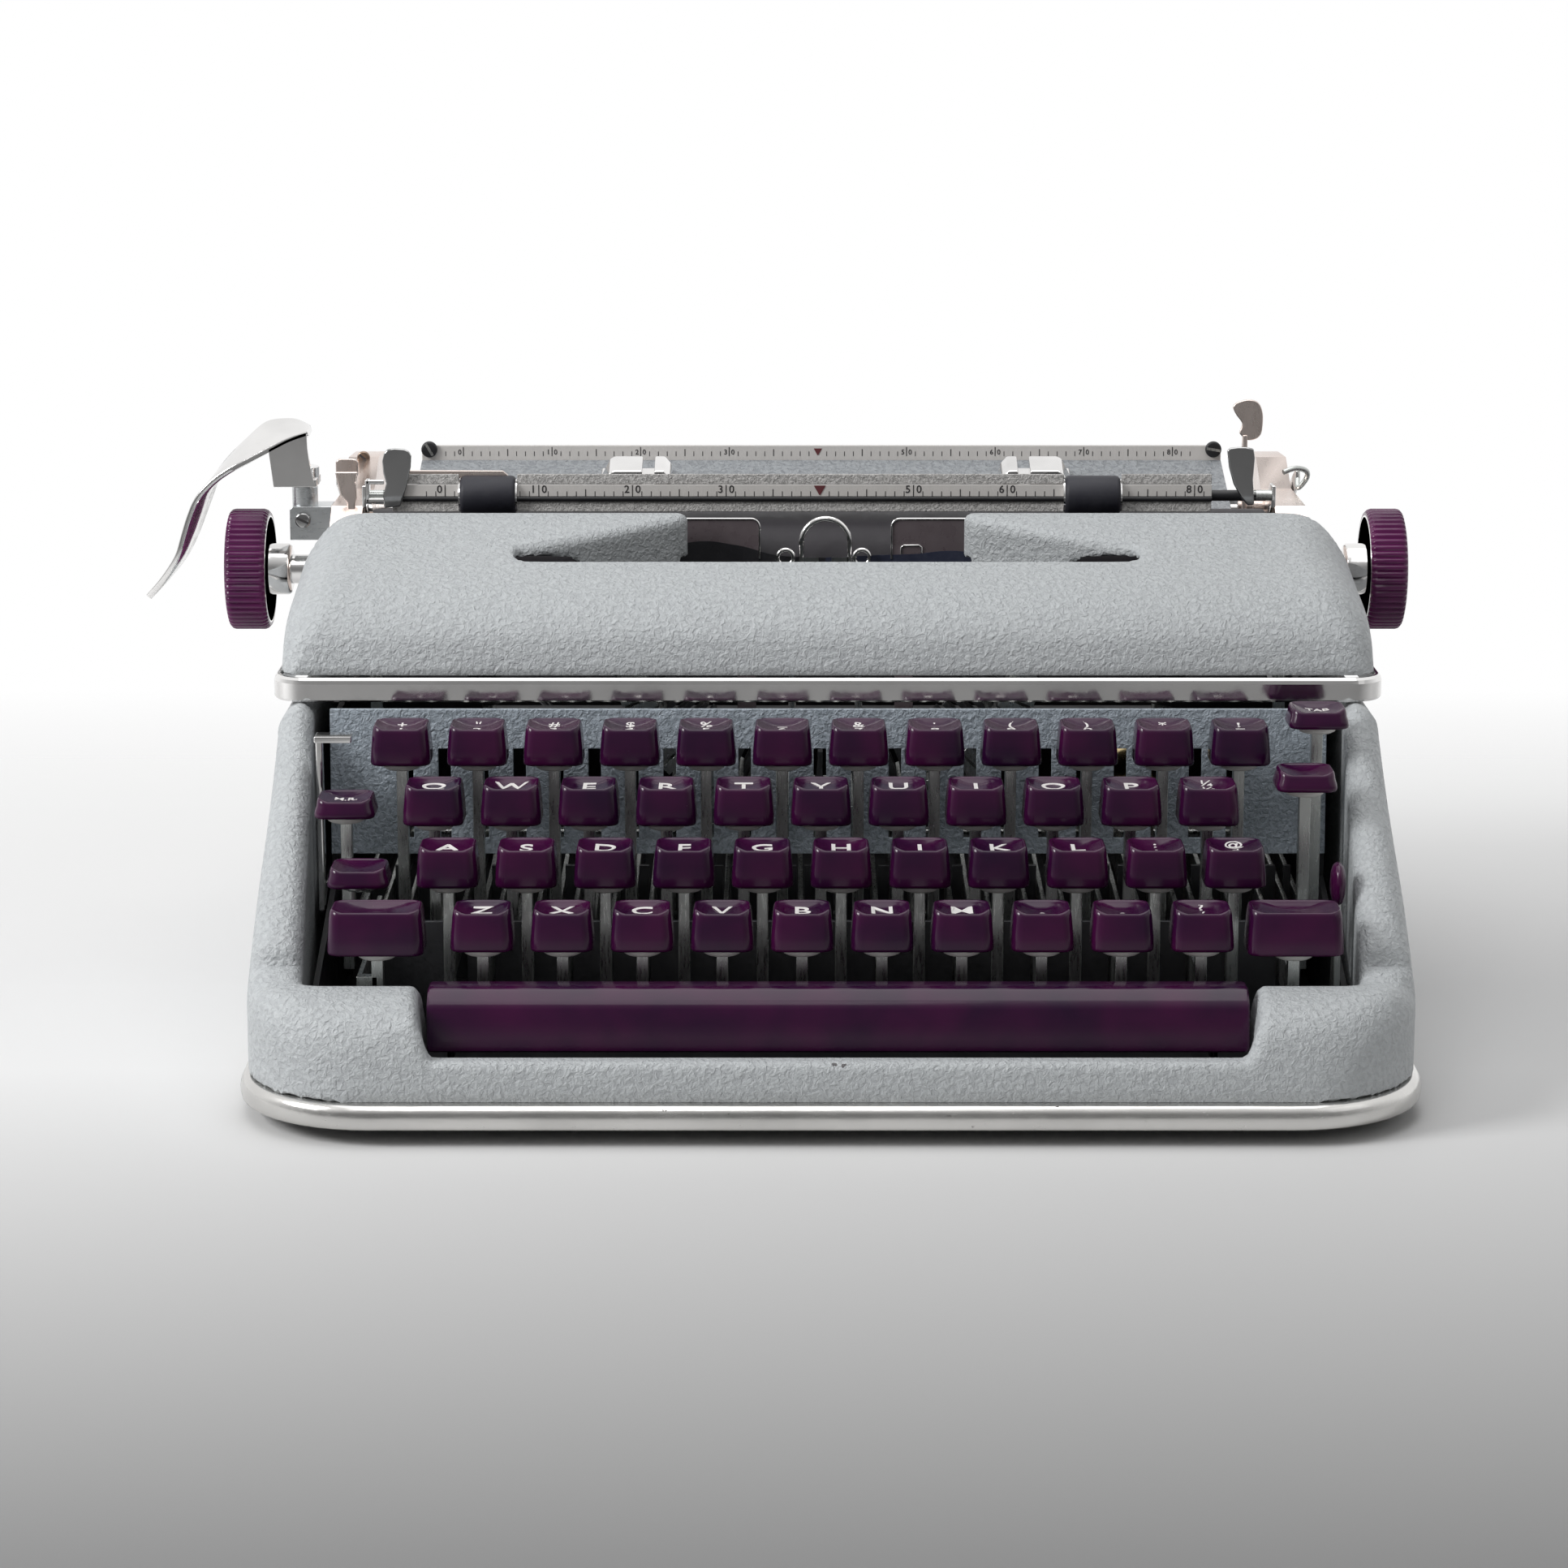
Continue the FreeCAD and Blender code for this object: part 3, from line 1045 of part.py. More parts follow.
def platen_and_knobs():
    """The rubber platen on its shaft and the two knobs that turn it."""
    y, z = S.platen_depth, S.platen_height
    gap = S.platen_end_gap
    roll = rod_x(S.platen_radius, -S.end_plate_left_inner + gap, S.end_plate_right_inner - gap, y, z)
    left_end = -S.knob_left_outer + 3
    right_end = S.knob_right_outer - 3
    shaft = rod_x(S.platen_shaft_radius, left_end, right_end, y, z)
    node("platen", fuse(roll, shaft))
    inner, outer = -S.knob_left_inner, -S.knob_left_outer
    hub = inner + S.hub_length
    node("left_knob", knob(outer, inner, inner - 4, hub, inner - 4, inner + 1, left_end, hub + 1))
    inner, outer = S.knob_right_inner, S.knob_right_outer
    hub = inner - S.hub_length
    node("right_knob", knob(inner, outer, hub, inner + 4, inner - 1, inner + 4, hub - 1, right_end))


def feed_rollers():
    for side, name in ((1, "rear_feed_rollers"), (-1, "front_feed_rollers")):
        y, z = feed_place(side)
        radius = S.feed_radius_rear if side > 0 else S.feed_radius_front
        parts = [rod_x(S.feed_shaft_radius, -S.carriage_left + 1, S.carriage_right - 1, y, z)]
        for x in (-80, 0, 76):
            parts.append(rod_x(radius, x - S.feed_length / 2, x + S.feed_length / 2, y, z))
        node(name, fuse(*parts))


def paper_table():
    """The sloping table behind the platen, its printed scale and the two sliding paper guides."""
    y0, z0 = S.table_low_depth, S.table_low_height
    y1, z1 = S.table_high_depth, S.table_high_height
    thick = S.table_thickness
    lip = S.table_lip
    outline = [(y0, z0 - lip), (y0 + 1.4, z0 - lip), (y0 + 1.4, z0 - thick), (y1, z1 - thick), (y1, z1), (y0, z0)]
    table = profile("YZ_Plane", outline, S.table_left + S.table_right, -S.table_left)
    slope = (z1 - z0) / (y1 - y0)
    mid = z0 + slope * 16 - thick
    parts = [table]
    for a, b in ((-S.end_plate_left_inner, 2 - S.table_left), (S.table_right - 2, S.end_plate_right_inner)):
        parts.append(box(a, b, y0 + 10, y0 + 18, mid - 1.5, mid + 0.5))
    node("paper_table", fuse(*parts))
    high = S.scale_top
    plate = box(-S.table_left, S.table_right, y1 + 0.1, y1 + 0.1 + S.scale_thickness, high - S.scale_height, high)
    node("table_scale", plate)
    for name, x in (("left_paper_guide", -S.guide_left_x), ("right_paper_guide", S.guide_right_x)):
        a, b = x - S.guide_width / 2, x + S.guide_width / 2
        foot0 = z0 + slope * 8 + 0.3
        foot1 = z0 + slope * 28 + 0.3
        block = wedge((a, b), (a, b), y0 + 8, y0 + 28, (foot0, foot0 + 1), (foot1, foot1 + 1))
        up0, up1 = z0 + slope * 12 + 0.3, z0 + slope * 22 + 0.3
        left = wedge((a, a + 8), (a, a + 8), y0 + 12, y0 + 22, (up0, up0 + S.guide_height),
                     (up1, up1 + S.guide_height))
        right = wedge((b - 9, b), (b - 9, b), y0 + 12, y0 + 22, (up0, up0 + S.guide_height),
                      (up1, up1 + S.guide_height))
        node(name, fuse(block, left, right))


def bail():
    """The paper bail: a rod and a scale strip on two arms, with two rubber rollers."""
    y, z = S.bail_depth, S.bail_height
    left, right = -S.bail_left, S.bail_right
    parts = [rod_x(S.bail_rod_radius, left - 2, right + 2, y, z)]
    edge = S.roller_width / 2 + 0.6
    spans = ((left, -S.roller_left_x - edge), (-S.roller_left_x + edge, S.roller_right_x - edge),
             (S.roller_right_x + edge, right - 10))
    tall = S.bail_strip_height / 2
    for a, b in spans:
        parts.append(box(a, b, y - 2, y - 2 + S.bail_strip_thickness, z - tall, z + tall))
        parts.append(box(a, b, y - 2, y, z - 1, z + 1))
    py, pz = S.bail_pivot_depth, S.bail_pivot_height
    outline = [(y - 3, z - 3), (y + 3, z - 3), (py - 2, pz - 4), (py + 4, pz - 4), (py + 4, pz + 4), (py - 2, pz + 5),
               (y + 3, z + 3), (y - 3, z + 3)]
    for a, pin in ((-S.end_plate_left_inner + 0.4, -1), (S.end_plate_right_inner - 1.5, 1)):
        parts.append(profile("YZ_Plane", outline, 1.1, a))
        parts.append(rod_x(1.5, a - 4 if pin < 0 else a, a + 1 if pin < 0 else a + 5, py, pz))
    parts.append(rod_x(S.bail_rod_radius, -S.end_plate_left_inner + 0.4, left, y, z))
    parts.append(rod_x(S.bail_rod_radius, right, S.end_plate_right_inner - 0.4, y, z))
    for x in (left - 2.5, right - 4):
        parts.append(box(x, x + 7.5, y - 2.4, y - 1, z - 4, z + 8.5))
    node("paper_bail", fuse(*parts))
    rollers = []
    for x in (-S.roller_left_x, S.roller_right_x):
        wheel = rod_x(S.roller_radius, x - S.roller_width / 2, x + S.roller_width / 2, y, z)
        bore = rod_x(S.bail_rod_radius + S.roller_play, x - 20, x + 20, y, z)
        rollers.append(cut(wheel, bore))
    node("bail_rollers", group(*rollers))


def return_lever():
    """The bracket on the carriage's left end and the arched lever that swings on its upright pin."""
    x, y = -S.return_pin_x, S.return_pin_depth
    inner = -S.carriage_left
    top = S.bracket_top
    seat = S.return_floor - S.return_play
    block = box(x - 3.8, inner, S.bracket_front, S.bracket_rear, S.bracket_low, top)
    collar = rod_z(S.return_collar, top - 1, seat, x, y)
    pin = rod_z(S.return_pin_radius, seat - 1, S.return_pin_top, x, y)
    node("lever_bracket", fuse(block, collar, pin))
    low, front = S.return_floor.value, S.return_front.value
    thick = S.return_sheet.value
    foot = Part.makeBox(10.9, 12, 2, vector(x - 6.9, front, low))
    face = [(-149.8, low), (-138.4, low), (-139, 128), (-139.9, 132.3), (-141, 138), (-141, 141.6), (-146.5, 139.2),
            (-151, 136.8)]
    plate = prism([(px, front, pz) for px, pz in face], (0, thick, 0))
    # front edge, then rear edge, of the arm's upper face: place, height and depth
    arm = [
        ((-140.6, 142.2, 0), (-141.5, 142.8, 11)), ((-146.5, 139.8, 0), (-147.4, 144.3, 11)),
        ((-151, 137.5, 0), (-152.8, 143.4, 11)), ((-157, 134.4, 0), (-158, 139.1, 11)),
        ((-162, 131.9, 0), (-163.2, 134, 11)), ((-167, 128.5, 0), (-166.6, 129.4, 11)),
        ((-171.5, 123.6, 0.4), (-168.8, 124, 10.5)), ((-173.9, 118.5, 0.5), (-171, 118.5, 10.5)),
        ((-175.7, 113, 0.5), (-173.2, 113, 10)), ((-177.5, 107.5, 0.6), (-176.1, 107.5, 9.4)),
        ((-181.7, 101.2, 2.4), (-181, 101.4, 8.6)), ((-186, 96.2, 4.8), (-185.8, 96.4, 8)),
    ]
    wires = []
    for i, (near, far) in enumerate(arm):
        before, after = arm[max(i - 1, 0)][0], arm[min(i + 1, len(arm) - 1)][0]
        run = math.hypot(after[0] - before[0], after[1] - before[1])
        in_x, in_z = -(after[1] - before[1]) / run * thick, (after[0] - before[0]) / run * thick
        upper = [(px, front + depth, pz) for px, pz, depth in (near, far)]
        lower = [(px + in_x, depth, pz + in_z) for px, depth, pz in reversed(upper)]
        wires.append(polygon(upper + lower))
    strip = Part.makeLoft(wires, True, True)
    hub = Part.makeCylinder(5, 5, vector(x, y, low))
    bore = Part.makeCylinder(S.return_pin_radius.value + S.pivot_play.value, 20, vector(x, y, 120))
    node("return_lever", shaped(hub.fuse([foot, plate, strip]).cut(bore)))


def carriage_levers():
    """The carriage release tabs on one cross shaft, and the paper release lever with its bent-over tab."""
    y, z = S.release_shaft_depth, S.release_shaft_height
    left, right = -S.carriage_left - 0.4, S.carriage_right + 0.4
    shaft = rod_x(1.5, left - 1.2, right + 1.2, y, z)
    front = S.release_tab_depth
    outline = [(y - 2.5, z - 2.5), (y + 2.5, z - 2.5), (y + 2.5, z + 2.5), (front + 3, 127), (front, 127),
               (front, 123)]
    arms = [profile("YZ_Plane", outline, 1.2, left - 1.2), profile("YZ_Plane", outline, 1.2, right)]
    face = [(left - 1.2, 125.4), (left - 1, 129.6), (left - 0.2, 130.3), (left + 4.1, 130.3), (left + 5.1, 129.6),
            (left + 4.6, 125.4)]
    tab = profile("XZ_Plane", face, 1.2, front)
    wire = rod_z(0.9, 122, 128.3, right + 0.6, front + 1.4)
    hook = rod_y(0.9, front - 8, front + 2.3, right + 0.6, 128.3)
    node("carriage_release_levers", fuse(shaft, tab, wire, hook, *arms))
    x, y, z = S.paper_lever_x, S.paper_lever_depth, S.paper_lever_height
    outline = [(y - 3, z - 3), (y + 3, z - 3), (y + 3, z + 3), (y + 0.5, z + 20), (y - 1.5, z + 20), (y - 3, z + 3)]
    blade = profile("YZ_Plane", outline, 1.4, x - 0.7)
    bore = rod_x(1.6, x - 3, x + 3, y, z)
    face = [(x - 1.6, z + 20.4), (x + 0.2, z + 18.6), (x + 3.6, z + 19.5), (x + 4.7, z + 21.7), (x + 4.8, z + 26),
            (x + 4, z + 28.7), (x + 1.3, z + 29.8), (x - 2.3, z + 29.2), (x - 3.6, z + 27.8), (x - 2.2, z + 25.1),
            (x - 0.5, z + 22.6)]
    tab = profile("XZ_Plane", face, 1.4, y - 1.2)
    node("paper_release_lever", fuse(cut(blade, bore), tab))


base_pieces()
node("lower_casing", lower_casing())
node("cover_trim", cover_strip())
node("ribbon_cover", ribbon_cover())
keyboard()
shift_lock()
space_bar()
small_levers()
combs()
key_panel()
type_basket()
card_holders()
ribbon_parts()
main_frame()
drum_and_bell()
carriage()
platen_and_knobs()
feed_rollers()
paper_table()
bail()
return_lever()
carriage_levers()

doc.recompute()
for thing in doc.Objects:
    if "Invalid" in thing.State or "Error" in thing.State:
        raise RuntimeError("%s (%s) did not build" % (thing.Name, thing.Label))
for name, thing in NODES.items():
    if thing.Shape.isNull() or not thing.Shape.isValid() or not thing.Shape.Solids:
        raise RuntimeError("%s has no sound solid" % name)

os.makedirs("parts", exist_ok=True)
for name, thing in NODES.items():
    thing.Shape.exportStep(os.path.join("parts", name + ".step"))
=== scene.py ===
"""A manual portable typewriter, built as a sidebar add-on that makes its pieces one after another."""
import math
from types import SimpleNamespace
import bpy
import numpy as np
from bpy.props import FloatProperty, FloatVectorProperty, IntProperty, PointerProperty
from mathutils import Matrix, Vector


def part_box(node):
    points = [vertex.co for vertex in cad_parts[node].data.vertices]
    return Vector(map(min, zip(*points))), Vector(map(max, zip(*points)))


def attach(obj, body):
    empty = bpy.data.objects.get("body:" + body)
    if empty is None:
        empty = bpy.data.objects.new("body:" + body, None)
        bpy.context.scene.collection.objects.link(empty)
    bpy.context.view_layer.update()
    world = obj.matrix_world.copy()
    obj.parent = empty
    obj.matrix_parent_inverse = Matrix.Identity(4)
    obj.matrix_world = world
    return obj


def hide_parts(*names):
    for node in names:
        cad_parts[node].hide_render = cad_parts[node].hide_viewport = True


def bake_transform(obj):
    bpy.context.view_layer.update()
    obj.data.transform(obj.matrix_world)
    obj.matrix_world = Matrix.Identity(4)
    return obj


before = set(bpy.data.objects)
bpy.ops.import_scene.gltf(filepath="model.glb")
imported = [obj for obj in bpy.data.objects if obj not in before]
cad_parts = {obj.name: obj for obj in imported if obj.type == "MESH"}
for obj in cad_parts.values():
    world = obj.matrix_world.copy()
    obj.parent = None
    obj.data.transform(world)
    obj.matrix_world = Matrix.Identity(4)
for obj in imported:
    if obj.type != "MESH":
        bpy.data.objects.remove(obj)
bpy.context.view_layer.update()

bl_info = {
    "name": "Manual Typewriter",
    "version": (1, 0, 0),
    "blender": (4, 5, 0),
    "location": "View3D > Sidebar > Typewriter",
    "description": "Builds a portable manual typewriter piece by piece",
    "category": "Add Mesh",
}

MM = 0.001
ORIGIN = Vector((13.95, -147.5, 0.0))


def length(value, text):
    """A length property given in millimetres."""
    return FloatProperty(name=text.capitalize(), description=text, default=value * MM, subtype="DISTANCE",
                         unit="LENGTH", min=0, max=1, precision=5)


def colour(red, green, blue, text):
    """A colour property."""
    return FloatVectorProperty(name=text.capitalize(), description=text, default=(red, green, blue),
                               subtype="COLOR", size=3, min=0, max=1)


class TypewriterBody(bpy.types.PropertyGroup):
    """Sizes of the casing and of the trim round it."""
    half_width: length(139, "half the casing's width")
    front: length(2.5, "depth of the casing's front face")
    rear: length(293, "depth of the casing's rear face")
    bottom: length(10, "height of the casing's lower edge")
    corner: length(32, "plan radius of the casing's front corners")
    rear_corner: length(22, "plan radius of the casing's rear corners")
    nose: length(21, "depth of the rounded nose")
    shoulder: length(32.5, "height of the front shoulders")
    deck: length(83.6, "height of the deck under the cover")
    rear_deck: length(80, "height of the deck under the carriage")
    lip: length(19.3, "height of the lip ahead of the space bar")
    bay_left: length(95.8, "reach of the space bar's bay to the left")
    bay_right: length(98.7, "reach of the space bar's bay to the right")
    trim_half: length(141, "half the base trim's width")


class TypewriterCover(bpy.types.PropertyGroup):
    """Sizes of the ribbon cover."""
    half_width: length(139.3, "half the cover's width")
    front: length(115.5, "depth of the cover's foot")
    rear: length(182, "depth of the cover's rear edge")
    foot: length(90, "height of the cover's foot")
    rise: length(32.7, "height of the cover above its foot")
    wall: length(2.2, "thickness of the cover")
    slot_front: length(148, "depth of the slot's front edge")
    slot_half: length(81.8, "half the slot's width at its tips")
    slot_tip: length(9.5, "depth of the slot at its tips")
    throat: length(37, "half the slot's width at the rear")


class TypewriterKeys(bpy.types.PropertyGroup):
    """Sizes of the keyboard."""
    pitch: length(19, "distance from key to key")
    cap_width: length(15, "width of a cap")
    cap_depth: length(13.6, "depth of a cap")
    cap_height: length(10, "height of a cap")
    dish: length(1.25, "depth of the dish in a cap")
    shift_width: length(23, "width of a shift key")
    letter: length(8.4, "size of the lettering")
    bar_left: length(95, "reach of the space bar to the left")
    bar_right: length(98, "reach of the space bar to the right")
    bar_front: length(15.6, "depth of the space bar's front face")
    bar_rear: length(28.2, "depth of the space bar's rear face")
    bar_floor: length(18.6, "height of the space bar's lower edge")
    bar_top: length(33, "height of the space bar's top")


class TypewriterCarriage(bpy.types.PropertyGroup):
    """Sizes of the carriage."""
    platen_depth: length(206, "depth of the platen's axis")
    platen_height: length(103, "height of the platen's axis")
    platen_radius: length(16.5, "radius of the platen")
    knob_radius: length(16.5, "radius of the platen knobs")
    bail_depth: length(199, "depth of the bail's rod")
    bail_height: length(124.3, "height of the bail's rod")
    ribs: IntProperty(name="Ribs", description="ribs round a knob", default=54, min=12, max=120)


class TypewriterColours(bpy.types.PropertyGroup):
    """Colours of the painted and plastic parts."""
    # Each hollows colour is painted shade: a darker copy of its paint for the hollows of the wrinkles.
    casing: colour(0.53, 0.555, 0.568, "casing paint on the folds")
    casing_hollows: colour(0.455, 0.475, 0.49, "casing paint in the hollows")
    table: colour(0.36, 0.38, 0.40, "paper table paint on the folds")
    table_hollows: colour(0.25, 0.265, 0.285, "paper table paint in the hollows")
    # Painted shade: the key panel's colours are the casing paint made darker and bluer.
    panel: colour(0.43, 0.49, 0.55, "key panel paint on the folds")
    panel_hollows: colour(0.30, 0.345, 0.39, "key panel paint in the hollows")
    key: colour(0.052, 0.004, 0.040, "plastic of the keys")
    key_deep: colour(0.022, 0.003, 0.026, "darker streaks in the keys")
    knob: colour(0.125, 0.012, 0.090, "plastic of the knobs")
    knob_deep: colour(0.070, 0.008, 0.055, "darker streaks in the knobs")
    lettering: colour(0.84, 0.82, 0.80, "lettering of the keys")


GROUPS = {
    "typewriter_body": TypewriterBody,
    "typewriter_cover": TypewriterCover,
    "typewriter_keys": TypewriterKeys,
    "typewriter_carriage": TypewriterCarriage,
    "typewriter_colours": TypewriterColours,
}


def millimetres(group):
    """The sizes of a property group as plain millimetre numbers."""
    found = {}
    for name in group.bl_rna.properties.keys():
        if name not in ("rna_type", "name"):
            value = getattr(group, name)
            found[name] = value / MM if isinstance(value, float) else value
    return SimpleNamespace(**found)


# Materials

def node_tools(tree):
    """Two helpers for a node tree: add makes a node with its inputs and settings, link joins sockets."""
    def add(kind, inputs=None, **settings):
        made = tree.nodes.new("ShaderNode" + kind)
        for key, value in settings.items():
            setattr(made, key, value)
        for key, value in (inputs or {}).items():
            if isinstance(value, bpy.types.NodeSocket):
                tree.links.new(value, made.inputs[key])
            else:
                made.inputs[key].default_value = value
        return made

    def link(a, b):
        tree.links.new(a, b)

    return add, link


def graph(name):
    """A new node material with its shader and the helpers that fill it."""
    material = bpy.data.materials.new(name)
    material.use_nodes = True
    shader = material.node_tree.nodes["Principled BSDF"]
    return material, shader, *node_tools(material.node_tree)


def noise(add, scale, detail=3, roughness=0.5, stretch=None):
    """Noise in the object's own space, with an optional stretch along its axes."""
    where = add("TexCoord").outputs["Object"]
    if stretch:
        where = add("Mapping", {"Vector": where, "Scale": stretch}).outputs["Vector"]
    made = add("TexNoise", {"Vector": where, "Scale": scale, "Detail": detail, "Roughness": roughness})
    return made.outputs["Fac"]


def ramp(add, value, low, high, a=0.0, b=1.0):
    """Maps a value from the range low to high onto a to b."""
    made = add("MapRange", {"Value": value, "From Min": low, "From Max": high, "To Min": a, "To Max": b})
    return made.outputs["Result"]


def blend_colour(add, factor, a, b):
    """Mixes two colours, each given as numbers or as another node's output."""
    sides = [value if isinstance(value, bpy.types.NodeSocket) else (*value, 1) for value in (a, b)]
    return add("Mix", {"Factor": factor, 6: sides[0], 7: sides[1]}, data_type="RGBA").outputs[2]


def bump(add, height, distance, strength):
    """Fine relief from a height in metres."""
    return add("Bump", {"Height": height, "Distance": distance, "Strength": strength}).outputs["Normal"]


def crinkle_paint(name, light, dark, grain=900, chips=()):
    """Wrinkle-finish enamel: small soft folds with painted shade in their hollows, faint grime, and chips at
    the given (x, y, z, size).
    """
    material, shader, add, link = graph(name)
    where = add("TexCoord").outputs["Object"]
    warp = add("TexNoise", {"Vector": where, "Scale": grain * 0.7, "Detail": 2})
    offset = add("Mix", {"Factor": 0.0010}, data_type="VECTOR")
    link(where, offset.inputs[4])
    link(warp.outputs["Color"], offset.inputs[5])
    folds = add("TexNoise", {"Vector": offset.outputs[1], "Scale": grain, "Detail": 3, "Roughness": 0.55,
                             "Distortion": 0.6}).outputs["Fac"]
    # Painted shade: the paint turns to its darker colour in the hollows of the folds, where the bump sinks.
    skin = blend_colour(add, ramp(add, folds, 0.40, 0.56), dark, light)
    shade = tuple(0.9 * c for c in light)
    colour = blend_colour(add, ramp(add, noise(add, 9, 2), 0.45, 0.75, 0, 0.35), skin, shade)
    specks = ramp(add, noise(add, 95, 6, 0.6), 0.785, 0.795)
    colour = blend_colour(add, specks, colour, (0.12, 0.115, 0.11))
    ragged = noise(add, 700, 3)
    for x, y, z, size in chips:
        spot = tuple((a + b) * MM for a, b in zip((x, y, z), ORIGIN))
        away = add("VectorMath", {0: where, 1: spot}, operation="DISTANCE").outputs["Value"]
        size = size * MM
        uneven = add("Math", {0: away, 1: ramp(add, ragged, 0, 1, -size, size)}, operation="ADD").outputs[0]
        bare = ramp(add, uneven, size * 0.75, size * 0.85, 1, 0)
        colour = blend_colour(add, bare, colour, (0.10, 0.095, 0.10))
    link(colour, shader.inputs["Base Color"])
    link(ramp(add, folds, 0.3, 0.7, 0.52, 0.38), shader.inputs["Roughness"])
    link(bump(add, folds, 0.00075, 1.0), shader.inputs["Normal"])
    return material


def gloss_plastic(name, colour, deep):
    """Old glossy plastic with fine scratches and specks of dust."""
    material, shader, add, link = graph(name)
    shader.inputs["Specular IOR Level"].default_value = 0.36
    cloudy = noise(add, 60, 2)
    base = blend_colour(add, ramp(add, cloudy, 0.35, 0.7), colour, deep)
    dust = ramp(add, noise(add, 900, 4, 0.7), 0.74, 0.78, 0, 0.5)
    base = blend_colour(add, dust, base, (0.35, 0.27, 0.32))
    link(base, shader.inputs["Base Color"])
    scratch = noise(add, 240, 3, 0.6, (1, 1, 14))
    link(ramp(add, scratch, 0.3, 0.75, 0.1, 0.24), shader.inputs["Roughness"])
    link(bump(add, noise(add, 130, 2), 0.00006, 0.5), shader.inputs["Normal"])
    return material


def metal(name, colour, low, high, grain=(1, 1, 1), scale=300, spots=0.0, dent=0.00003):
    """Bare or plated metal: brushed or polished grain, soft stains and, if wanted, small pits."""
    material, shader, add, link = graph(name)
    shader.inputs["Metallic"].default_value = 1
    stain = noise(add, 22, 4, 0.6)
    dimmed = tuple(0.8 * c for c in colour)
    base = blend_colour(add, ramp(add, stain, 0.45, 0.72), colour, dimmed)
    if spots:
        pits = ramp(add, noise(add, 420, 5, 0.68), 0.70 - spots, 0.715 - spots)
        base = blend_colour(add, pits, base, (0.07, 0.06, 0.055))
    link(base, shader.inputs["Base Color"])
    lines = noise(add, scale, 4, 0.6, grain)
    link(ramp(add, lines, 0.3, 0.7, low, high), shader.inputs["Roughness"])
    link(bump(add, lines, dent, 0.35), shader.inputs["Normal"])
    return material


def dull(name, colour, rough, grain=500, depth=0.00012, fleck=0.12):
    """Rubber, cloth or matt paint: uneven colour and a fine bumpy skin."""
    material, shader, add, link = graph(name)
    spread = noise(add, grain * 0.3, 4, 0.6)
    paler = tuple(min(1, c + fleck * (0.35 + c)) for c in colour)
    link(blend_colour(add, ramp(add, spread, 0.45, 0.8), colour, paler), shader.inputs["Base Color"])
    link(ramp(add, spread, 0.3, 0.7, rough, rough + 0.15), shader.inputs["Roughness"])
    link(bump(add, noise(add, grain, 3), depth, 0.5), shader.inputs["Normal"])
    return material


def make_materials(c):
    """All finishes by their short names, with the colours that can be set."""
    chips = ((-4.5, 4.5, 19.3, 0.7), (0.8, 4.3, 19.4, 1.3), (2.6, 4.4, 19.2, 1.0), (-112.5, 3.2, 21, 0.6))
    return {
        # The second colour of each wrinkle paint is painted shade in the hollows of its folds, and the panel
        # paint is the casing paint with painted shade.
        "casing": crinkle_paint("casing_paint", c.casing, c.casing_hollows, 760, chips),
        "table": crinkle_paint("table_paint", c.table, c.table_hollows, 700),
        "band": crinkle_paint("band_paint", (0.60, 0.585, 0.57), (0.38, 0.37, 0.36), 1300),
        "panel": crinkle_paint("panel_paint", c.panel, c.panel_hollows, 800),
        "key": gloss_plastic("key_plastic", c.key, c.key_deep),
        "knob": gloss_plastic("knob_plastic", c.knob, c.knob_deep),
        "chrome": metal("chrome", (0.86, 0.85, 0.84), 0.05, 0.13),
        "trim": metal("polished_trim", (0.70, 0.69, 0.67), 0.14, 0.28, (1, 8, 8), 160, 0.012),
        "satin": metal("satin_steel", (0.66, 0.68, 0.69), 0.24, 0.36, (1, 1, 8), 240),
        "plate": metal("warm_plate", (0.78, 0.68, 0.63), 0.24, 0.36, (6, 1, 1), 200),
        "ear": metal("grey_ear", (0.42, 0.42, 0.42), 0.08, 0.16, (1, 1, 1), 260),
        "steel": metal("lever_steel", (0.60, 0.62, 0.60), 0.22, 0.38, (8, 8, 1), 240, 0.0, 0.00006),
        "dark_steel": metal("dark_steel", (0.16, 0.16, 0.17), 0.3, 0.5, (6, 1, 6), 260),
        "screw": metal("bronzed_screw", (0.30, 0.22, 0.17), 0.22, 0.4, (1, 6, 1), 400),
        "black": dull("black_enamel", (0.010, 0.010, 0.012), 0.34, 420, 0.00005, 0.03),
        "rubber": dull("black_rubber", (0.012, 0.012, 0.020), 0.5, 700, 0.00008, 0.04),
        "platen": dull("platen_rubber", (0.020, 0.017, 0.022), 0.5, 900, 0.00006, 0.04),
        "ribbon": dull("ribbon_cloth", (0.006, 0.006, 0.009), 0.6, 2600, 0.00008, 0.02),
        "navy": dull("ribbon_navy", (0.010, 0.014, 0.036), 0.55, 2600, 0.00008, 0.03),
        "washer": dull("pale_washer", (0.74, 0.73, 0.70), 0.35, 600, 0.00003, 0.05),
        "white": dull("legend_white", c.lettering, 0.4, 600, 0.00002, 0.02),
        "ink": dull("scale_ink", (0.03, 0.028, 0.03), 0.5, 600, 0.00002, 0.02),
        "red": dull("index_red", (0.13, 0.03, 0.035), 0.45, 600, 0.00002, 0.02),
        "scale": dull("scale_face", (0.68, 0.655, 0.63), 0.35, 700, 0.00002, 0.02),
        "brass": metal("bell_brass", (0.72, 0.58, 0.32), 0.16, 0.3),
        "card": dull("card_holder", (0.125, 0.102, 0.110), 0.22, 900, 0.00002, 0.05),
    }


PAINTS = {}


# Meshes. A mesh is a pair of lists, points and faces, in millimetres in the design frame: x from the centre
# line, y back from the front edge and z up from the table.

def cad(node):
    """A CAD node's lowest and highest corner in the design frame, in millimetres."""
    low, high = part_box(node)
    return Vector(low) / MM - ORIGIN, Vector(high) / MM - ORIGIN


def merged(meshes):
    """Several meshes as one."""
    points, faces = [], []
    for more, sides in meshes:
        start = len(points)
        points.extend(more)
        faces.extend([i + start for i in side] for side in sides)
    return points, faces


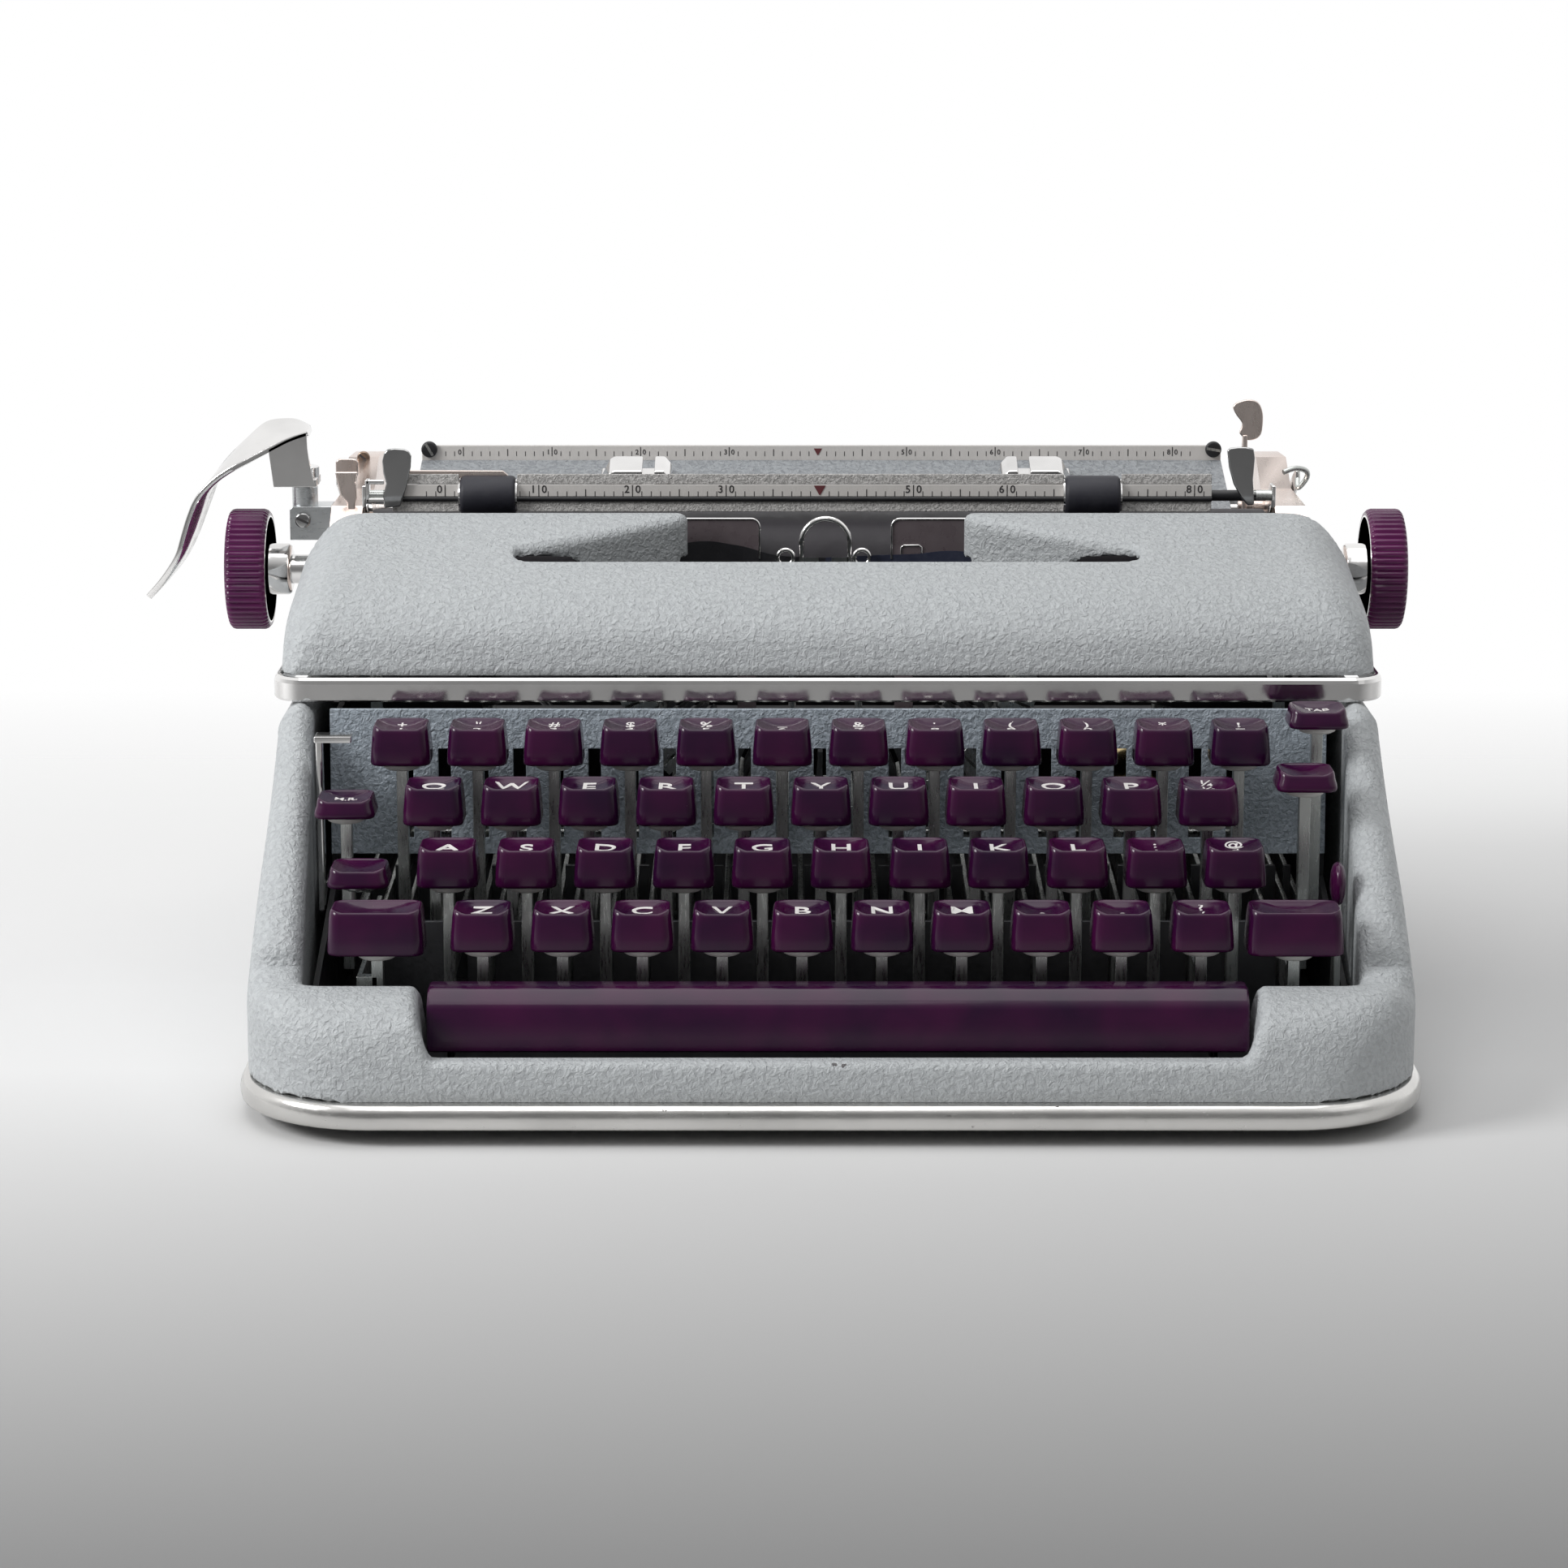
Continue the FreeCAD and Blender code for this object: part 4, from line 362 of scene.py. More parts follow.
def turned(mesh, degrees, axis, centre):
    """A mesh turned about an axis through a centre."""
    turn = Matrix.Rotation(math.radians(degrees), 3, axis)
    centre = Vector(centre)
    points, faces = mesh
    return [tuple(turn @ (Vector(p) - centre) + centre) for p in points], faces


def loft(rings, round_trip=False):
    """A skin over rings of equal length; the last ring leads back to the first on a round trip."""
    count = len(rings[0])
    points = [p for ring in rings for p in ring]
    faces = []
    for i in range(len(rings) if round_trip else len(rings) - 1):
        a, b = i * count, (i + 1) % len(rings) * count
        for j in range(count):
            k = (j + 1) % count
            faces.append([a + j, a + k, b + k, b + j])
    if not round_trip:
        faces.append(list(reversed(range(count))))
        faces.append([len(points) - count + j for j in range(count)])
    return points, faces


def block(x0, x1, y0, y1, z0, z1):
    """A box, whose edges the piece's bevel rounds later."""
    ring = [(x0, y0), (x1, y0), (x1, y1), (x0, y1)]
    return loft([[(x, y, z) for x, y in ring] for z in (z0, z1)])


def plate_x(outline, x0, x1):
    """A flat plate with a (y, z) outline, from x0 to x1."""
    return loft([[(x, y, z) for y, z in outline] for x in (x0, x1)])


def plate_y(outline, y0, y1):
    """A flat plate with an (x, z) outline, from y0 to y1."""
    return loft([[(x, y, z) for x, z in outline] for y in (y0, y1)])


def round_rectangle(x0, x1, y0, y1, corner):
    """A closed ring of (x, y) points, anticlockwise from the right-hand side, seven to a corner."""
    points = []
    centres = ((x1 - corner, y0 + corner, -90), (x1 - corner, y1 - corner, 0),
               (x0 + corner, y1 - corner, 90), (x0 + corner, y0 + corner, 180))
    for cx, cy, start in centres:
        for i in range(7):
            a = math.radians(start + 15 * i)
            points.append((cx + corner * math.cos(a), cy + corner * math.sin(a)))
    return points


def lathe(profile, centre, axis="X", sides=48, radius_at=None):
    """A round piece: profile points (distance along the axis, radius) turned about a centre."""
    rings = []
    for along, radius in profile:
        ring = []
        for i in range(sides):
            a = 2 * math.pi * i / sides
            r = radius_at(along, radius, a) if radius_at else radius
            u, v = r * math.cos(a), r * math.sin(a)
            spot = {"X": (along, u, v), "Y": (v, along, u), "Z": (u, v, along)}[axis]
            ring.append(tuple(p + q for p, q in zip(spot, centre)))
        rings.append(ring)
    return loft(rings)


def tube(path, radius, sides=12):
    """A round wire along a path of points."""
    rings = []
    side = None
    for i, p in enumerate(path):
        ahead = Vector(path[min(i + 1, len(path) - 1)]) - Vector(path[max(i - 1, 0)])
        ahead.normalize()
        if side is None:
            side = ahead.orthogonal().normalized()
        side = (side - ahead * side.dot(ahead)).normalized()
        up = ahead.cross(side)
        turns = [2 * math.pi * j / sides for j in range(sides)]
        rings.append([tuple(Vector(p) + radius * (side * math.cos(t) + up * math.sin(t))) for t in turns])
    return loft(rings)


def curve_through(points, steps=8):
    """A smooth run of points through the given ones."""
    out = []
    last = len(points) - 1
    for i in range(last):
        p0, p1, p2, p3 = (Vector(points[min(max(k, 0), last)]) for k in (i - 1, i, i + 1, i + 2))
        for j in range(steps):
            t = j / steps
            bend = 2 * p1 + (p2 - p0) * t + (2 * p0 - 5 * p1 + 4 * p2 - p3) * t * t
            out.append(tuple(0.5 * (bend + (3 * p1 - p0 - 3 * p2 + p3) * t ** 3)))
    return out + [tuple(points[last])]


def moulding(plan, profile):
    """A strip round the body: plan(offset) gives its ring in plan, profile its (offset, height) corners."""
    return loft([[(x, y, z) for x, y in plan(offset)] for offset, z in profile], round_trip=True)


def horseshoe(half, front, rear, corner, offset):
    """An open line in plan: forward along the left side, round the front and back along the right."""
    side, near, r = half + offset, front - offset, corner + offset
    turns = [math.radians(9 * i) for i in range(11)]
    left = [(r - side - r * math.cos(a), near + r - r * math.sin(a)) for a in turns]
    right = [(side - r + r * math.sin(a), near + r - r * math.cos(a)) for a in turns]
    return [(-side, rear)] + left + right + [(side, rear)]


def screw(x, y, z, radius, turn):
    """A cheese-head screw that looks forward: its head, and the slot across it, turned by some degrees."""
    tall = radius * 0.55
    profile = [(0, radius), (-tall * 0.7, radius), (-tall * 0.92, radius * 0.9), (-tall, radius * 0.72)]
    head = lathe(profile, (x, y, z), "Y", 28)
    reach, wide = radius * 0.86, radius * 0.16
    slot = block(x - reach, x + reach, y - tall * 1.02, y - tall * 0.55, z - wide, z + wide)
    return head, turned(slot, turn, "Y", (x, y, z))


def screws(*places):
    """The heads of several screws as one mesh, and their slots as another."""
    heads, slots = zip(*(screw(*place) for place in places))
    return merged(heads), merged(slots)


# Distance fields, negative inside the shape

def meet(a, b, radius):
    """What two fields have in common, with a rounded edge."""
    corner = np.hypot(np.maximum(a + radius, 0), np.maximum(b + radius, 0))
    return np.minimum(np.maximum(a, b), -radius) + corner


def outline_distance(x, y, outline):
    """Distance from a closed outline in plan, negative inside it."""
    nearest = np.full(np.shape(x), 1e9)
    inside = np.zeros(np.shape(x), bool)
    for (ax, ay), (bx, by) in zip(outline, outline[1:] + outline[:1]):
        ex, ey = bx - ax, by - ay
        t = np.clip(((x - ax) * ex + (y - ay) * ey) / (ex * ex + ey * ey), 0, 1)
        nearest = np.minimum(nearest, np.hypot(x - ax - t * ex, y - ay - t * ey))
        if ay != by:
            inside ^= ((ay > y) != (by > y)) & (x < ex * (y - ay) / ey + ax)
    return np.where(inside, -nearest, nearest)


def skin(field, low, high, step):
    """The surface where a field is nought, as even quads drawn onto it."""
    low = np.array(low, float)
    axes = [np.arange(a, b + step, step) for a, b in zip(low, high)]
    value = field(*np.meshgrid(*axes, indexing="ij"))
    cells = tuple(n - 1 for n in value.shape)
    total, count = np.zeros((*cells, 3)), np.zeros(cells)

    def at(corner):
        return value[tuple(slice(c, c + n) for c, n in zip(corner, cells))]

    for axis in range(3):
        for a in (0, 1):
            for b in (0, 1):
                start = np.zeros(3, int)
                start[(axis + 1) % 3], start[(axis + 2) % 3] = a, b
                end = start.copy()
                end[axis] = 1
                v0, v1 = at(start), at(end)
                cross = (v0 < 0) != (v1 < 0)
                t = np.where(cross, v0 / np.where(cross, v0 - v1, 1), 0)
                for k in range(3):
                    total[..., k] += cross * (start[k] + (t if k == axis else 0))
                count += cross
    active = count > 0
    index = np.full(cells, -1)
    index[active] = np.arange(active.sum())
    points = low + step * (np.argwhere(active) + total[active] / count[active][:, None])
    faces = []
    for axis in range(3):
        u, w = (axis + 1) % 3, (axis + 2) % 3
        a = [slice(None)] * 3
        b = [slice(None)] * 3
        a[axis], b[axis] = slice(0, -1), slice(1, None)
        first, second = value[tuple(a)] < 0, value[tuple(b)] < 0
        spots = np.argwhere(first != second)
        inner = (spots[:, u] > 0) & (spots[:, w] > 0) & (spots[:, u] < cells[u]) & (spots[:, w] < cells[w])
        spots = spots[inner]
        corners = []
        for du, dw in ((0, 0), (1, 0), (1, 1), (0, 1)):
            near = spots.copy()
            near[:, u] -= du
            near[:, w] -= dw
            corners.append(index[tuple(near.T)])
        quads = np.stack(corners, axis=1)
        back = ~first[tuple(spots.T)]
        quads[back] = quads[back][:, ::-1]
        faces.append(quads)
    for _ in range(3):
        points = drawn_on(field, points, step)
    return points, np.concatenate(faces)


def drawn_on(field, points, step):
    """Points moved along the field's slope onto its surface."""
    reach = 0.05
    slope = np.zeros_like(points)
    for k in range(3):
        shift = np.zeros(3)
        shift[k] = reach
        slope[:, k] = (field(*(points + shift).T) - field(*(points - shift).T)) / (2 * reach)
    steep = np.maximum((slope ** 2).sum(axis=1), 0.2)
    move = np.clip(field(*points.T), -step / 2, step / 2) / steep
    return points - slope * move[:, None]


def make(name, mesh, paint, body, nodes=(), bevel=0.0, angle=38, segments=2):
    """A named object from a mesh, painted, riding on its body and standing for its nodes."""
    points, faces = mesh
    points = (np.array(points, float) + np.array(ORIGIN)) * MM
    data = bpy.data.meshes.new(name)
    data.from_pydata(points.tolist(), [], faces.tolist() if isinstance(faces, np.ndarray) else faces)
    data.validate()
    made = bpy.data.objects.new(name, data)
    bpy.context.scene.collection.objects.link(made)
    data.materials.append(PAINTS[paint])
    finish_edges(made, bevel, angle, segments)
    if body:
        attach(made, body)
    if nodes:
        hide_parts(*nodes)
    return made


def finish_edges(thing, bevel, angle=38, segments=2):
    """Rounds a piece's sharp edges, or keeps them sharp without a bevel, and shades the rest smooth."""
    for side in thing.data.polygons:
        side.use_smooth = True
    if not bevel:
        thing.data.set_sharp_from_angle(angle=math.radians(angle))
        return
    edges = thing.modifiers.new("Edges", "BEVEL")
    edges.width = bevel * MM
    edges.segments = segments
    edges.limit_method = "ANGLE"
    edges.angle_limit = math.radians(angle)
    thing.modifiers.new("Shading", "WEIGHTED_NORMAL")


def dress(node, paint, bevel=0.25):
    """A CAD node's own solid with a finish and softened edges."""
    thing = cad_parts[node]
    thing.data.materials.clear()
    thing.data.materials.append(PAINTS[paint])
    weld = thing.modifiers.new("Weld", "WELD")
    weld.merge_threshold = 0.004 * MM
    finish_edges(thing, bevel, 35)


# Casing

# Depths at which the key well starts and ends, the sloping rails reach the deck, the deck steps down to the
# carriage, and the pocket behind the well ends
WELL_FRONT, WELL_REAR, RAIL_HEAD, DECK_STEP, POCKET_REAR = 28.6, 115.5, 106, 183, 283


def quarter(share):
    """How far a quarter circle has fallen at a share of its radius, from 0 at its crown."""
    return 1 - np.sqrt(1 - np.minimum(share, 0.999) ** 2)


def skin_height(s, y):
    """Height of the casing's upper surface at a depth: nose, shoulders, sloping rails and deck."""
    nose = np.clip((s.front + s.nose - y) / s.nose, 0, 1)
    rise = s.shoulder - s.bottom - 6
    slope = np.clip((y - WELL_FRONT) / (RAIL_HEAD - WELL_FRONT), 0, 1)
    easing = slope + 0.028 * np.sin(2 * math.pi * slope)
    step = np.clip((y - DECK_STEP) / 3, 0, 1) * (s.deck - s.rear_deck)
    tail_radius = 20
    tail = np.clip((y - s.rear + tail_radius) / tail_radius, 0, 1)
    climb = (s.deck - s.shoulder) * easing
    return s.shoulder - rise * quarter(nose) + climb - step - tail_radius * quarter(tail)


def block_field(s):
    """The casing as a full block."""
    middle = (s.front + s.rear) / 2
    deep = (s.rear - s.front) / 2

    def field(x, y, z):
        corner = np.where(y < middle, s.corner, s.rear_corner)
        qx = np.abs(x) - (s.half_width - corner)
        qy = np.abs(y - middle) - (deep - corner)
        plan = np.hypot(np.maximum(qx, 0), np.maximum(qy, 0)) + np.minimum(np.maximum(qx, qy), 0) - corner
        slope = (skin_height(s, y + 0.2) - skin_height(s, y - 0.2)) / 0.4
        top = (z - skin_height(s, y)) / np.sqrt(1 + slope ** 2)
        return meet(plan, top, 6.5)
    return field


def casing_field(s):
    """The block less the key well, the space bar's bay with the dip before it, and the rear pocket."""
    full = block_field(s)
    ease = 6.2

    def field(x, y, z):
        half = 125.5 + 5 * np.clip((y - WELL_FRONT) / (WELL_REAR - WELL_FRONT), 0, 1)
        well = meet(meet(np.abs(x) - half, WELL_FRONT - y, 5), y - POCKET_REAR, 3)
        beyond = np.maximum(-s.bay_left - x, x - s.bay_right)
        bay = np.maximum(beyond, np.maximum(11.3 - y, y - 40))
        t = np.clip((beyond + 2.8) / ease, 0, 1)
        lip = s.lip + (s.shoulder + 2 - s.lip) * t * t * (3 - 2 * t)
        steep = (s.shoulder + 2 - s.lip) * 6 * t * (1 - t) / ease
        dip = np.maximum((lip - z) / np.sqrt(1 + steep ** 2), y - 36)
        shape = meet(full(x, y, z), -well, 4.6)
        shape = meet(shape, -bay, 1.6)
        shape = meet(shape, -dip, 2.2)
        return np.maximum(shape, s.bottom - z)
    return field


def make_casing(s):
    """The casing with its key well, as one piece."""
    low = (-s.half_width - 3, s.front - 3, s.bottom - 2)
    high = (s.half_width + 3, s.rear + 3, s.deck + 3)
    mesh = skin(casing_field(s), low, high, 1.6)
    make("casing_shell", mesh, "casing", "machine", ["lower_casing"], angle=50)


def trim_plan(s, rear):
    """Rings in plan round the casing's foot, at any offset from the trim's outer face."""
    def plan(offset):
        front_corner, rear_corner = s.corner + 2 + offset, s.rear_corner + 2 + offset
        half, near, far = s.trim_half + offset, -offset, rear + offset
        ring = []
        for start, cx, cy, r in ((0, half - rear_corner, far - rear_corner, rear_corner),
                                 (90, rear_corner - half, far - rear_corner, rear_corner),
                                 (180, front_corner - half, near + front_corner, front_corner),
                                 (270, half - front_corner, near + front_corner, front_corner)):
            for i in range(13):
                a = math.radians(start + 7.5 * i)
                ring.append((cx + r * math.cos(a), cy + r * math.sin(a)))
        return ring
    return plan


def make_base_trim(s):
    """The polished half-round moulding round the casing's foot."""
    low, high = cad("base_trim")
    profile = [(-5, low.z), (-1.0, low.z), (-0.35, low.z + 0.5), (-0.05, low.z + 1.6), (0, low.z + 2.8),
               (-0.2, low.z + 4.2), (-0.7, low.z + 5.3), (-1.5, high.z - 0.1), (-2.6, high.z),
               (-5, high.z - 0.1)]
    mesh = moulding(trim_plan(s, high.y), profile)
    make("base_moulding", mesh, "trim", "machine", ["base_trim"])


def make_base(s):
    """The base plate and its four rubber feet, each with a small core for its screw."""
    dress("base_plate", "black", 0.3)
    feet = []
    for x in (-s.trim_half + 34, s.trim_half - 34):
        for y in (34, 261):
            profile = [(0, 7.6), (0.5, 8.6), (2.6, 9), (4.6, 8.6), (7, 8.2)]
            feet.append(lathe(profile, (x, y, 0), "Z", 32))
            feet.append(lathe([(-0.01, 2.6), (1.4, 2.4)], (x, y, 0.02), "Z", 20))
    make("rubber_feet_turned", merged(feet), "rubber", "machine", ["rubber_feet"], 0.15)


# Ribbon cover

def hood_profile(s):
    """The cover's side outline in (y, z), front foot to rear foot, as a smooth run of points."""
    depth = [0, 0.012, 0.045, 0.11, 0.20, 0.32, 0.46, 0.62, 0.78, 0.90, 0.975]
    share = [0, 0.12, 0.30, 0.45, 0.57, 0.66, 0.73, 0.81, 0.90, 0.96, 0.985]
    line = [(s.front + a * (s.rear - s.front), s.foot + b * s.rise) for a, b in zip(depth, share)]
    points = curve_through(line, 4)
    return [(s.front, s.foot - 12)] + points + [(s.rear, s.foot + s.rise * 0.965), (s.rear, s.foot - 12)]


def slot_outline(s):
    """The cover's slot in plan: a straight front edge, blunt tips and ears that narrow it to the rear."""
    side = [(s.throat, s.rear + 20), (s.throat, s.rear - 3.5), (s.throat + 0.5, s.rear - 4.6)]
    tip_rear = s.slot_front + s.slot_tip
    wide, deep = s.slot_half - 1 - s.throat, s.rear - 5 - tip_rear
    for i in range(1, 17):
        t = i / 16
        side.append((s.throat + wide * t, tip_rear + deep * (1 - t) ** 1.2))
    for i in range(1, 9):
        a = math.pi * i / 16
        blunt = 8 * (1 - math.cos(a)) ** 2
        side.append((s.slot_half - blunt, tip_rear - 1.2 - (s.slot_tip - 1.2) * math.sin(a)))
    return [(-x, y) for x, y in side] + [(x, y) for x, y in reversed(side)]


def cover_field(s):
    """The ribbon cover: a thin rounded shell with its slot, turned-down ears and an open rear."""
    profile = hood_profile(s)
    slot = slot_outline(s)

    def field(x, y, z):
        side = np.abs(x) - s.half_width
        arch = outline_distance(y, z, profile)
        rounding = 5 + 11 * np.clip((z - s.foot) / 24, 0, 1)
        whole = meet(side, arch, rounding)
        gap = outline_distance(x, y, slot)
        crest = s.foot + s.rise
        rolled = 0.7 + 1.6 * np.clip((y - s.slot_front - 5) / 6, 0, 1)
        outer = meet(whole, -gap, rolled)
        shell = np.maximum(outer, -(whole + s.wall))
        hem = np.interp(np.abs(x), [s.slot_half - 23, s.slot_half - 14, s.slot_half - 7], [16, 9.5, 8.8])
        rim = np.maximum(np.maximum(gap - s.wall, -gap), np.maximum(crest - hem - z, outer))
        rim = np.maximum(rim, s.slot_front + 1.5 - y)
        shell = np.maximum(np.minimum(shell, rim), -gap)
        back = np.maximum(np.maximum(np.abs(x) - 100, s.rear - 5 - y), z - (crest - 12))
        shell = np.maximum(shell, -back)
        return np.maximum(shell, s.foot - z)
    return field


def make_cover(s):
    """The ribbon cover with its slot."""
    low = (-s.half_width - 2, s.front - 2, s.foot - 1.5)
    high = (s.half_width + 2, s.rear + 2, s.foot + s.rise + 2)
    mesh = skin(cover_field(s), low, high, 1.05)
    make("ribbon_cover_shell", mesh, "casing", "cover", ["ribbon_cover"], angle=50)


def make_cover_trim(s):
    """The polished strip that the cover stands on, open at the rear."""
    low, high = cad("cover_trim")
    profile = [(-2.2, low.z), (-0.4, low.z), (0, low.z + 0.5), (0, high.z - 1.5), (-0.25, high.z - 0.6),
               (-0.9, high.z), (-1.6, high.z), (-2.2, high.z - 0.6)]
    lines = [horseshoe(high.x, low.y, s.rear, 9, offset) for offset, z in profile]
    rings = [[(x, y, z) for (x, y), (offset, z) in zip(section, profile)] for section in zip(*lines)]
    make("cover_strip", loft(rings), "chrome", "machine", ["cover_trim"], angle=12)


# Keyboard

def cap_ring(x, y, z, wide, deep, corner):
    """One level round of a cap, as a rounded rectangle about its middle."""
    outline = round_rectangle(x - wide / 2, x + wide / 2, y - deep / 2, y + deep / 2, corner)
    return [(a, b, z) for a, b in outline]


def dish_drop(s, x, y, width):
    """How far a cap's hollow top lies below its rear rim, at a place measured from its middle."""
    across = min(1, abs(x) / (width / 2 - 1.25))
    behind = max(0, min(1, y / (s.cap_depth / 2 - 1.25)))
    return s.dish * (1 - across ** 2) * (1 - behind ** 2)


def cap(s, x, y, top, width, height):
    """A key cap: skirt, rolled rim and a hollow top whose front edge dips."""
    depth = s.cap_depth
    spread = [(0.9, 0, 0), (0.35, 0.25, 0), (0.1, 0.8, 0), (0.35, height * 0.35, 0),
              (1.1, height - 2.0, 0.15), (1.35, height - 1.1, 0.6), (1.65, height - 0.45, 0.9),
              (2.05, height - 0.08, 1), (2.6, height, 1), (3.1, height - 0.1, 1), (3.5, height - 0.15, 1)]
    for share in (0.9, 0.78, 0.62, 0.46, 0.3, 0.14, 0.02):
        spread.append((width - (width - 3.5) * share, height - 0.15, 1))
    rings = []
    for inset, up, sunk in spread:
        share = min(1, (width - inset) / (width - 3.5))
        deep = (depth - 3.5) * share if share < 1 else depth - inset
        ring = cap_ring(x, y, top - height + up, width - inset, deep, 2.6 * share)
        rings.append([(a, b, c - sunk * dish_drop(s, a - x, b - y, width)) for a, b, c in ring])
    return loft(rings)


def lettering(text, size, wide=1.0):
    """Flat letters of a given size as a thin mesh: points (across, up, out) and faces."""
    curve = bpy.data.curves.new("letter", "FONT")
    curve.body = text
    curve.size = size
    curve.align_x = "CENTER"
    curve.align_y = "CENTER"
    curve.resolution_u = 5
    curve.extrude = 0.07
    curve.offset = 0.012 * size
    holder = bpy.data.objects.new("letter", curve)
    bpy.context.scene.collection.objects.link(holder)
    bpy.context.view_layer.update()
    data = bpy.data.meshes.new_from_object(holder.evaluated_get(bpy.context.evaluated_depsgraph_get()))
    bpy.data.objects.remove(holder)
    points = [(v.co.x * wide, v.co.y, v.co.z) for v in data.vertices]
    faces = [list(f.vertices) for f in data.polygons]
    bpy.data.meshes.remove(data)
    return points, faces


def legend(s, text, x, y, top, size, shift=(0, 0)):
    """Lettering that follows the hollow of a cap."""
    letters, faces = lettering(text, size, 0.92)
    points = []
    for u, v, w in letters:
        px, py = u + shift[0], v + shift[1]
        points.append((x + px, y + py, top - 0.13 - dish_drop(s, px, py, s.cap_width) + w))
    return points, faces


def printed(text, x, y, z, size):
    """Lettering on an upright face that looks forward."""
    points, faces = lettering(text, size)
    return [(x + u, y - w, z + v) for u, v, w in points], faces


def dome(x, y, z, radius, height):
    """The pale domed washer between a cap and its stem."""
    profile = [(0, 1.6), (0.15, radius * 0.8), (height * 0.3, radius * 0.95), (height * 0.6, radius),
               (height, radius * 0.97)]
    return lathe(profile, (x, y, z), "Z", 28)


def lever_metal(x, y, lever_x, high):
    """A key lever: flat upright, long plate to the shaft and, where they are apart, the foot between."""
    plate = [(y + 1.5, 24), (193, 26.5), (193, 37.5), (y + 1.5, 32)]
    parts = [block(x - 1.4, x + 1.4, y - 1.5, y + 1.5, 24, high),
             plate_x(plate, lever_x - 0.6, lever_x + 0.6)]
    if abs(lever_x - x) > 1.5:
        a, b = sorted((lever_x, x))
        parts.append(block(a - 0.6, b, y - 1.5, y + 1.5, 24, 32))
    return parts


def make_keys(s, node, body, keys):
    """The keys of one node, each given as (x, y, top, width, height, lever x, words)."""
    caps, metal, washers, words = [], [], [], []
    for x, y, top, width, height, lever_x, marks in keys:
        caps.append(cap(s, x, y, top, width, height))
        seat = top - height
        washers.append(dome(x, y, seat - 1.9, 4.8, 1.9))
        metal += lever_metal(x, y, lever_x, seat - 1.5)
        for text, size, shift in marks:
            words.append(legend(s, text, x, y, top, size, shift))
    make(node + "_caps", merged(caps), "key", body, [node], angle=60)
    make(node + "_metal", merged(metal), "steel", body, [], 0.18)
    make(node + "_washers", merged(washers), "washer", body, angle=60)
    if words:
        make(node + "_legends", merged(words), "white", body, angle=30)


def letter(s, text):
    """The mark of a key with one large letter, as (words, size, place from the cap's middle)."""
    return [(text, s.letter, (0, -0.8))]


def pair(s, upper, lower):
    """The marks of a key with two signs, one above the other."""
    size = s.letter * 0.6
    return [(upper, size, (0, 1.9)), (lower, size, (0, -3.1))]


ROWS = {
    "number_row_keys": ("number_row", [("+", "1"), ('"', "2"), ("#", "3"), ("$", "4"), ("%", "5"),
                                       ("_", "6"), ("&", "7"), ("'", "8"), ("(", "9"), (")", "0"),
                                       ("*", "-"), ("!", "=")]),
    "top_row_keys": ("top_row", list("QWERTYUIOP") + [("\u00bc", "\u00bd")]),
    "bottom_row_keys": ("bottom_row", list("ZXCVBNM") + [",", ".", ("?", "/")]),
}
HOME_ROW = {**{name: name.upper() for name in "asdfghjkl"}, "colon": (":", ";"), "at": ("@", "\u00a2")}


def marks_of(s, mark):
    """What a cap says: a letter by itself, or a pair of signs."""
    return letter(s, mark) if isinstance(mark, str) else pair(s, *mark)


def key_place(s, node):
    """First key's x, depth and top of a row, from the CAD node's own box."""
    low, high = cad(node)
    return low.x + s.cap_width / 2, low.y + s.cap_depth / 2, high.z


def make_rows(s):
    """The four rows of keys: three that press as rows, and the home row key by key."""
    for node, (body, marks) in ROWS.items():
        x, y, top = key_place(s, node)
        keys = []
        for i, mark in enumerate(marks):
            spot = x + s.pitch * i
            keys.append((spot, y, top, s.cap_width, s.cap_height, spot, marks_of(s, mark)))
        make_keys(s, node, body, keys)
    for name, mark in HOME_ROW.items():
        x, y, top = key_place(s, "key_" + name)
        keys = [(x, y, top, s.cap_width, s.cap_height, x, marks_of(s, mark))]
        make_keys(s, "key_" + name, "home_" + name, keys)


def make_side_keys(s):
    """Shift, lock, margin release, backspace and tabulator keys."""
    low, high = cad("shift_keys")
    y, top = low.y + s.cap_depth / 2, high.z
    wide = s.shift_width
    right = high.x - wide / 2
    left = low.x + wide / 2
    pivot = left - 4.4
    shifts = [(left, y, top, wide, 11, pivot, []), (right, y, top, wide, 11, right, [])]
    make_keys(s, "shift_keys", "shift", shifts)
    cross = [block(left - 5, right + 0.6, 150, 153, 16.5, 19.5)]
    cross += [block(x - 0.6, x + 0.6, 150, 153, 16.5, 28) for x in (pivot, right)]
    cross.append(block(pivot - 0.6, pivot + 0.6, 85, 91, 30, 38.5))
    cross.append(lathe([(0, 1.5), (4, 1.5)], (pivot - 4, 88, 36)))
    make("shift_cross_bar", merged(cross), "steel", "shift", [], 0.15)
    x, y, top = key_place(s, "shift_lock_key")
    mesh = cap(s, x, y, top, s.cap_width, 5)
    make("shift_lock_cap", mesh, "key", "shift_lock", ["shift_lock_key"], angle=60)
    arm = [dome(x, y, top - 6.5, 4.5, 1.5), block(x - 2.3, x - 1.1, y - 1.5, y + 1.5, 34, top - 6.5),
           block(x - 2.3, x - 1.1, y - 1.5, 92, 33.5, 39)]
    make("shift_lock_arm", merged(arm), "steel", "shift_lock", [], 0.15)
    small = (("margin_release_key", "margin_release", "M.R.", 0), ("backspace_key", "backspace", "", 0),
             ("tab_key", "tabulator", "TAB", -1.1))
    for node, body, text, aside in small:
        x, y, top = key_place(s, node)
        words = [(text, 3.5, (0, 0))] if text else []
        make_keys(s, node, body, [(x, y, top, s.cap_width, 5, x + aside, words)])


